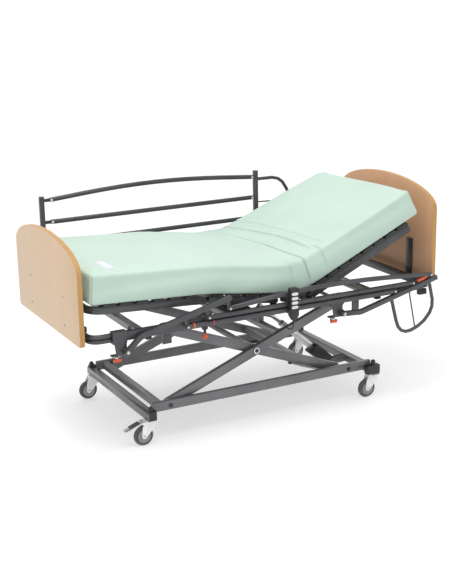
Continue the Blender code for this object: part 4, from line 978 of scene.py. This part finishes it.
def drive_trim():
    """Ribs under the motor housings, and screws under the control box."""
    for name in ("back_motor_housing", "leg_motor_housing"):
        low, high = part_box(name)
        body = BODY_OF[name]
        middle = (low.y + high.y) / 2
        for share in (0.30, 0.50, 0.70):
            run = high.x - low.x
            first = 0.0 if name.startswith("back") else run * 0.67
            x = low.x + run * share * 0.33 + first
            add_rounded_box(batch(body, "grey_plastic"), (x - 0.002, middle - 0.020, low.z - 0.0010),
                            (x + 0.002, middle + 0.020, low.z + 0.002), 0.0009, 2)
    low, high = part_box("control_box")
    for x in (low.x + 0.012, high.x - 0.012):
        for y in (low.y + 0.012, high.y - 0.012):
            add_dome(batch("bed_frame", "bright_steel"), (x, y, low.z + 0.0003), (0, 0, -1), 0.0038, 0.0018,
                     14)


# ---------------------------------------------------------------- cords
def smooth_route(points, count):
    """Even points on a Catmull-Rom curve through the route's own points."""
    points = [Vector(point) for point in points]
    ends = [points[0] * 2 - points[1]] + points + [points[-1] * 2 - points[-2]]
    spans = len(points) - 1
    route = []
    for step in range(count):
        far = spans * step / (count - 1)
        span = min(int(far), spans - 1)
        t = far - span
        p0, p1, p2, p3 = ends[span:span + 4]
        route.append(0.5 * (2 * p1 + (p2 - p0) * t + (2 * p0 - 5 * p1 + 4 * p2 - p3) * t ** 2
                            + (3 * p1 - p0 - 3 * p2 + p3) * t ** 3))
    return route


def handset_cord():
    """Straight lead from the handset to the control box under the seat."""
    path = [point + SHIFT for point in smooth_route(HANDSET_CORD_ROUTE, 90)]
    bm = bmesh.new()
    add_tube(bm, path, HANDSET_CORD_R, 12)
    cord = piece("handset_cord_lead", finished(bm, "lead"), "black_plastic", "bed_frame")
    bm = bmesh.new()
    reach = [point for point in path if (point - path[0]).length < 0.0265]
    last = len(reach) - 1
    radii = []
    for i in range(len(reach)):
        share = i / last
        radii.append(0.0066 - 0.0030 * share - (0.0007 if i % 2 and 0 < i < last else 0.0))
    add_tube(bm, reach, radii, 16)
    relief = piece("handset_strain_relief", finished(bm, "relief"), "black_plastic", "bed_frame", 50)
    bm = bmesh.new()
    add_lathe(bm, [(0.0, 0.0), (0.0080, 0.0), (0.0080, 0.004), (0.0056, 0.005), (0.0042, 0.017),
                   (0.0, 0.017)],
              path[-1] + Vector((0, 0.0006, 0)), (0, -1, 0), 20)
    gland = piece("control_box_gland", finished(bm, "gland"), "black_plastic", "bed_frame")
    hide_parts("handset_cord")


def lift_cord():
    """Coiled lead that hangs a little under the inner scissor arm, held in a clip at each end."""
    centre = Vector((-0.022, 0.0, 0.367))
    along = Vector((0.996, 0.0, -0.378)).normalized()
    down = Vector((along.z, 0.0, -along.x))
    path = []
    for step in range(61):
        share = step / 60
        drop = LIFT_CORD_SEAT + LIFT_CORD_SAG * math.sin(math.pi * share) ** 2
        reach = LIFT_CORD_START + LIFT_CORD_LENGTH * share
        path.append(centre + along * reach + down * drop + Vector((0, LIFT_CORD_Y, 0)) + SHIFT)
    turns, per_turn = 26, 16
    coil = []
    for step in range(turns * per_turn + 1):
        share = step / (turns * per_turn)
        spot = share * (len(path) - 1)
        index = min(int(spot), len(path) - 2)
        point = path[index].lerp(path[index + 1], spot - index)
        tangent = (path[index + 1] - path[index]).normalized()
        across = Vector((0, 1, 0))
        lift = tangent.cross(across)
        angle = math.tau * turns * share
        coil.append(point + (across * math.cos(angle) + lift * math.sin(angle)) * LIFT_COIL_R)
    bm = bmesh.new()
    add_tube(bm, coil, LIFT_WIRE_R, 8)
    cord = piece("lift_cord_coil", finished(bm, "coil"), "black_plastic", "scissor_inner", 80)
    for name, point in (("upper", path[0]), ("lower", path[-1])):
        bm = bmesh.new()
        tilt = Matrix.Translation(point) @ Matrix.Rotation(math.atan2(0.378, 0.996), 4, "Y")
        add_rounded_box(bm, (-0.008, -0.0078, -0.0078), (0.008, 0.0078, 0.0085), 0.0025, turn=tilt)
        piece(f"lift_cord_clip_{name}", finished(bm, "clip"), "black_plastic",
                           "scissor_inner")
    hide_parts("lift_cord")


# ---------------------------------------------------------------- assembly
make_camera()
make_stage()
LOOKS = make_looks()
ease_nodes()
LINE, SURFACE = make_mattress()
make_label(LINE, SURFACE)
board_screws()
caster_trim()
scissor_trim()
rail_trim()
latch_trim()
frame_trim()
pedal_trim()
slat_holders()
drive_trim()
place_batches()
handset_cord()
lift_cord()
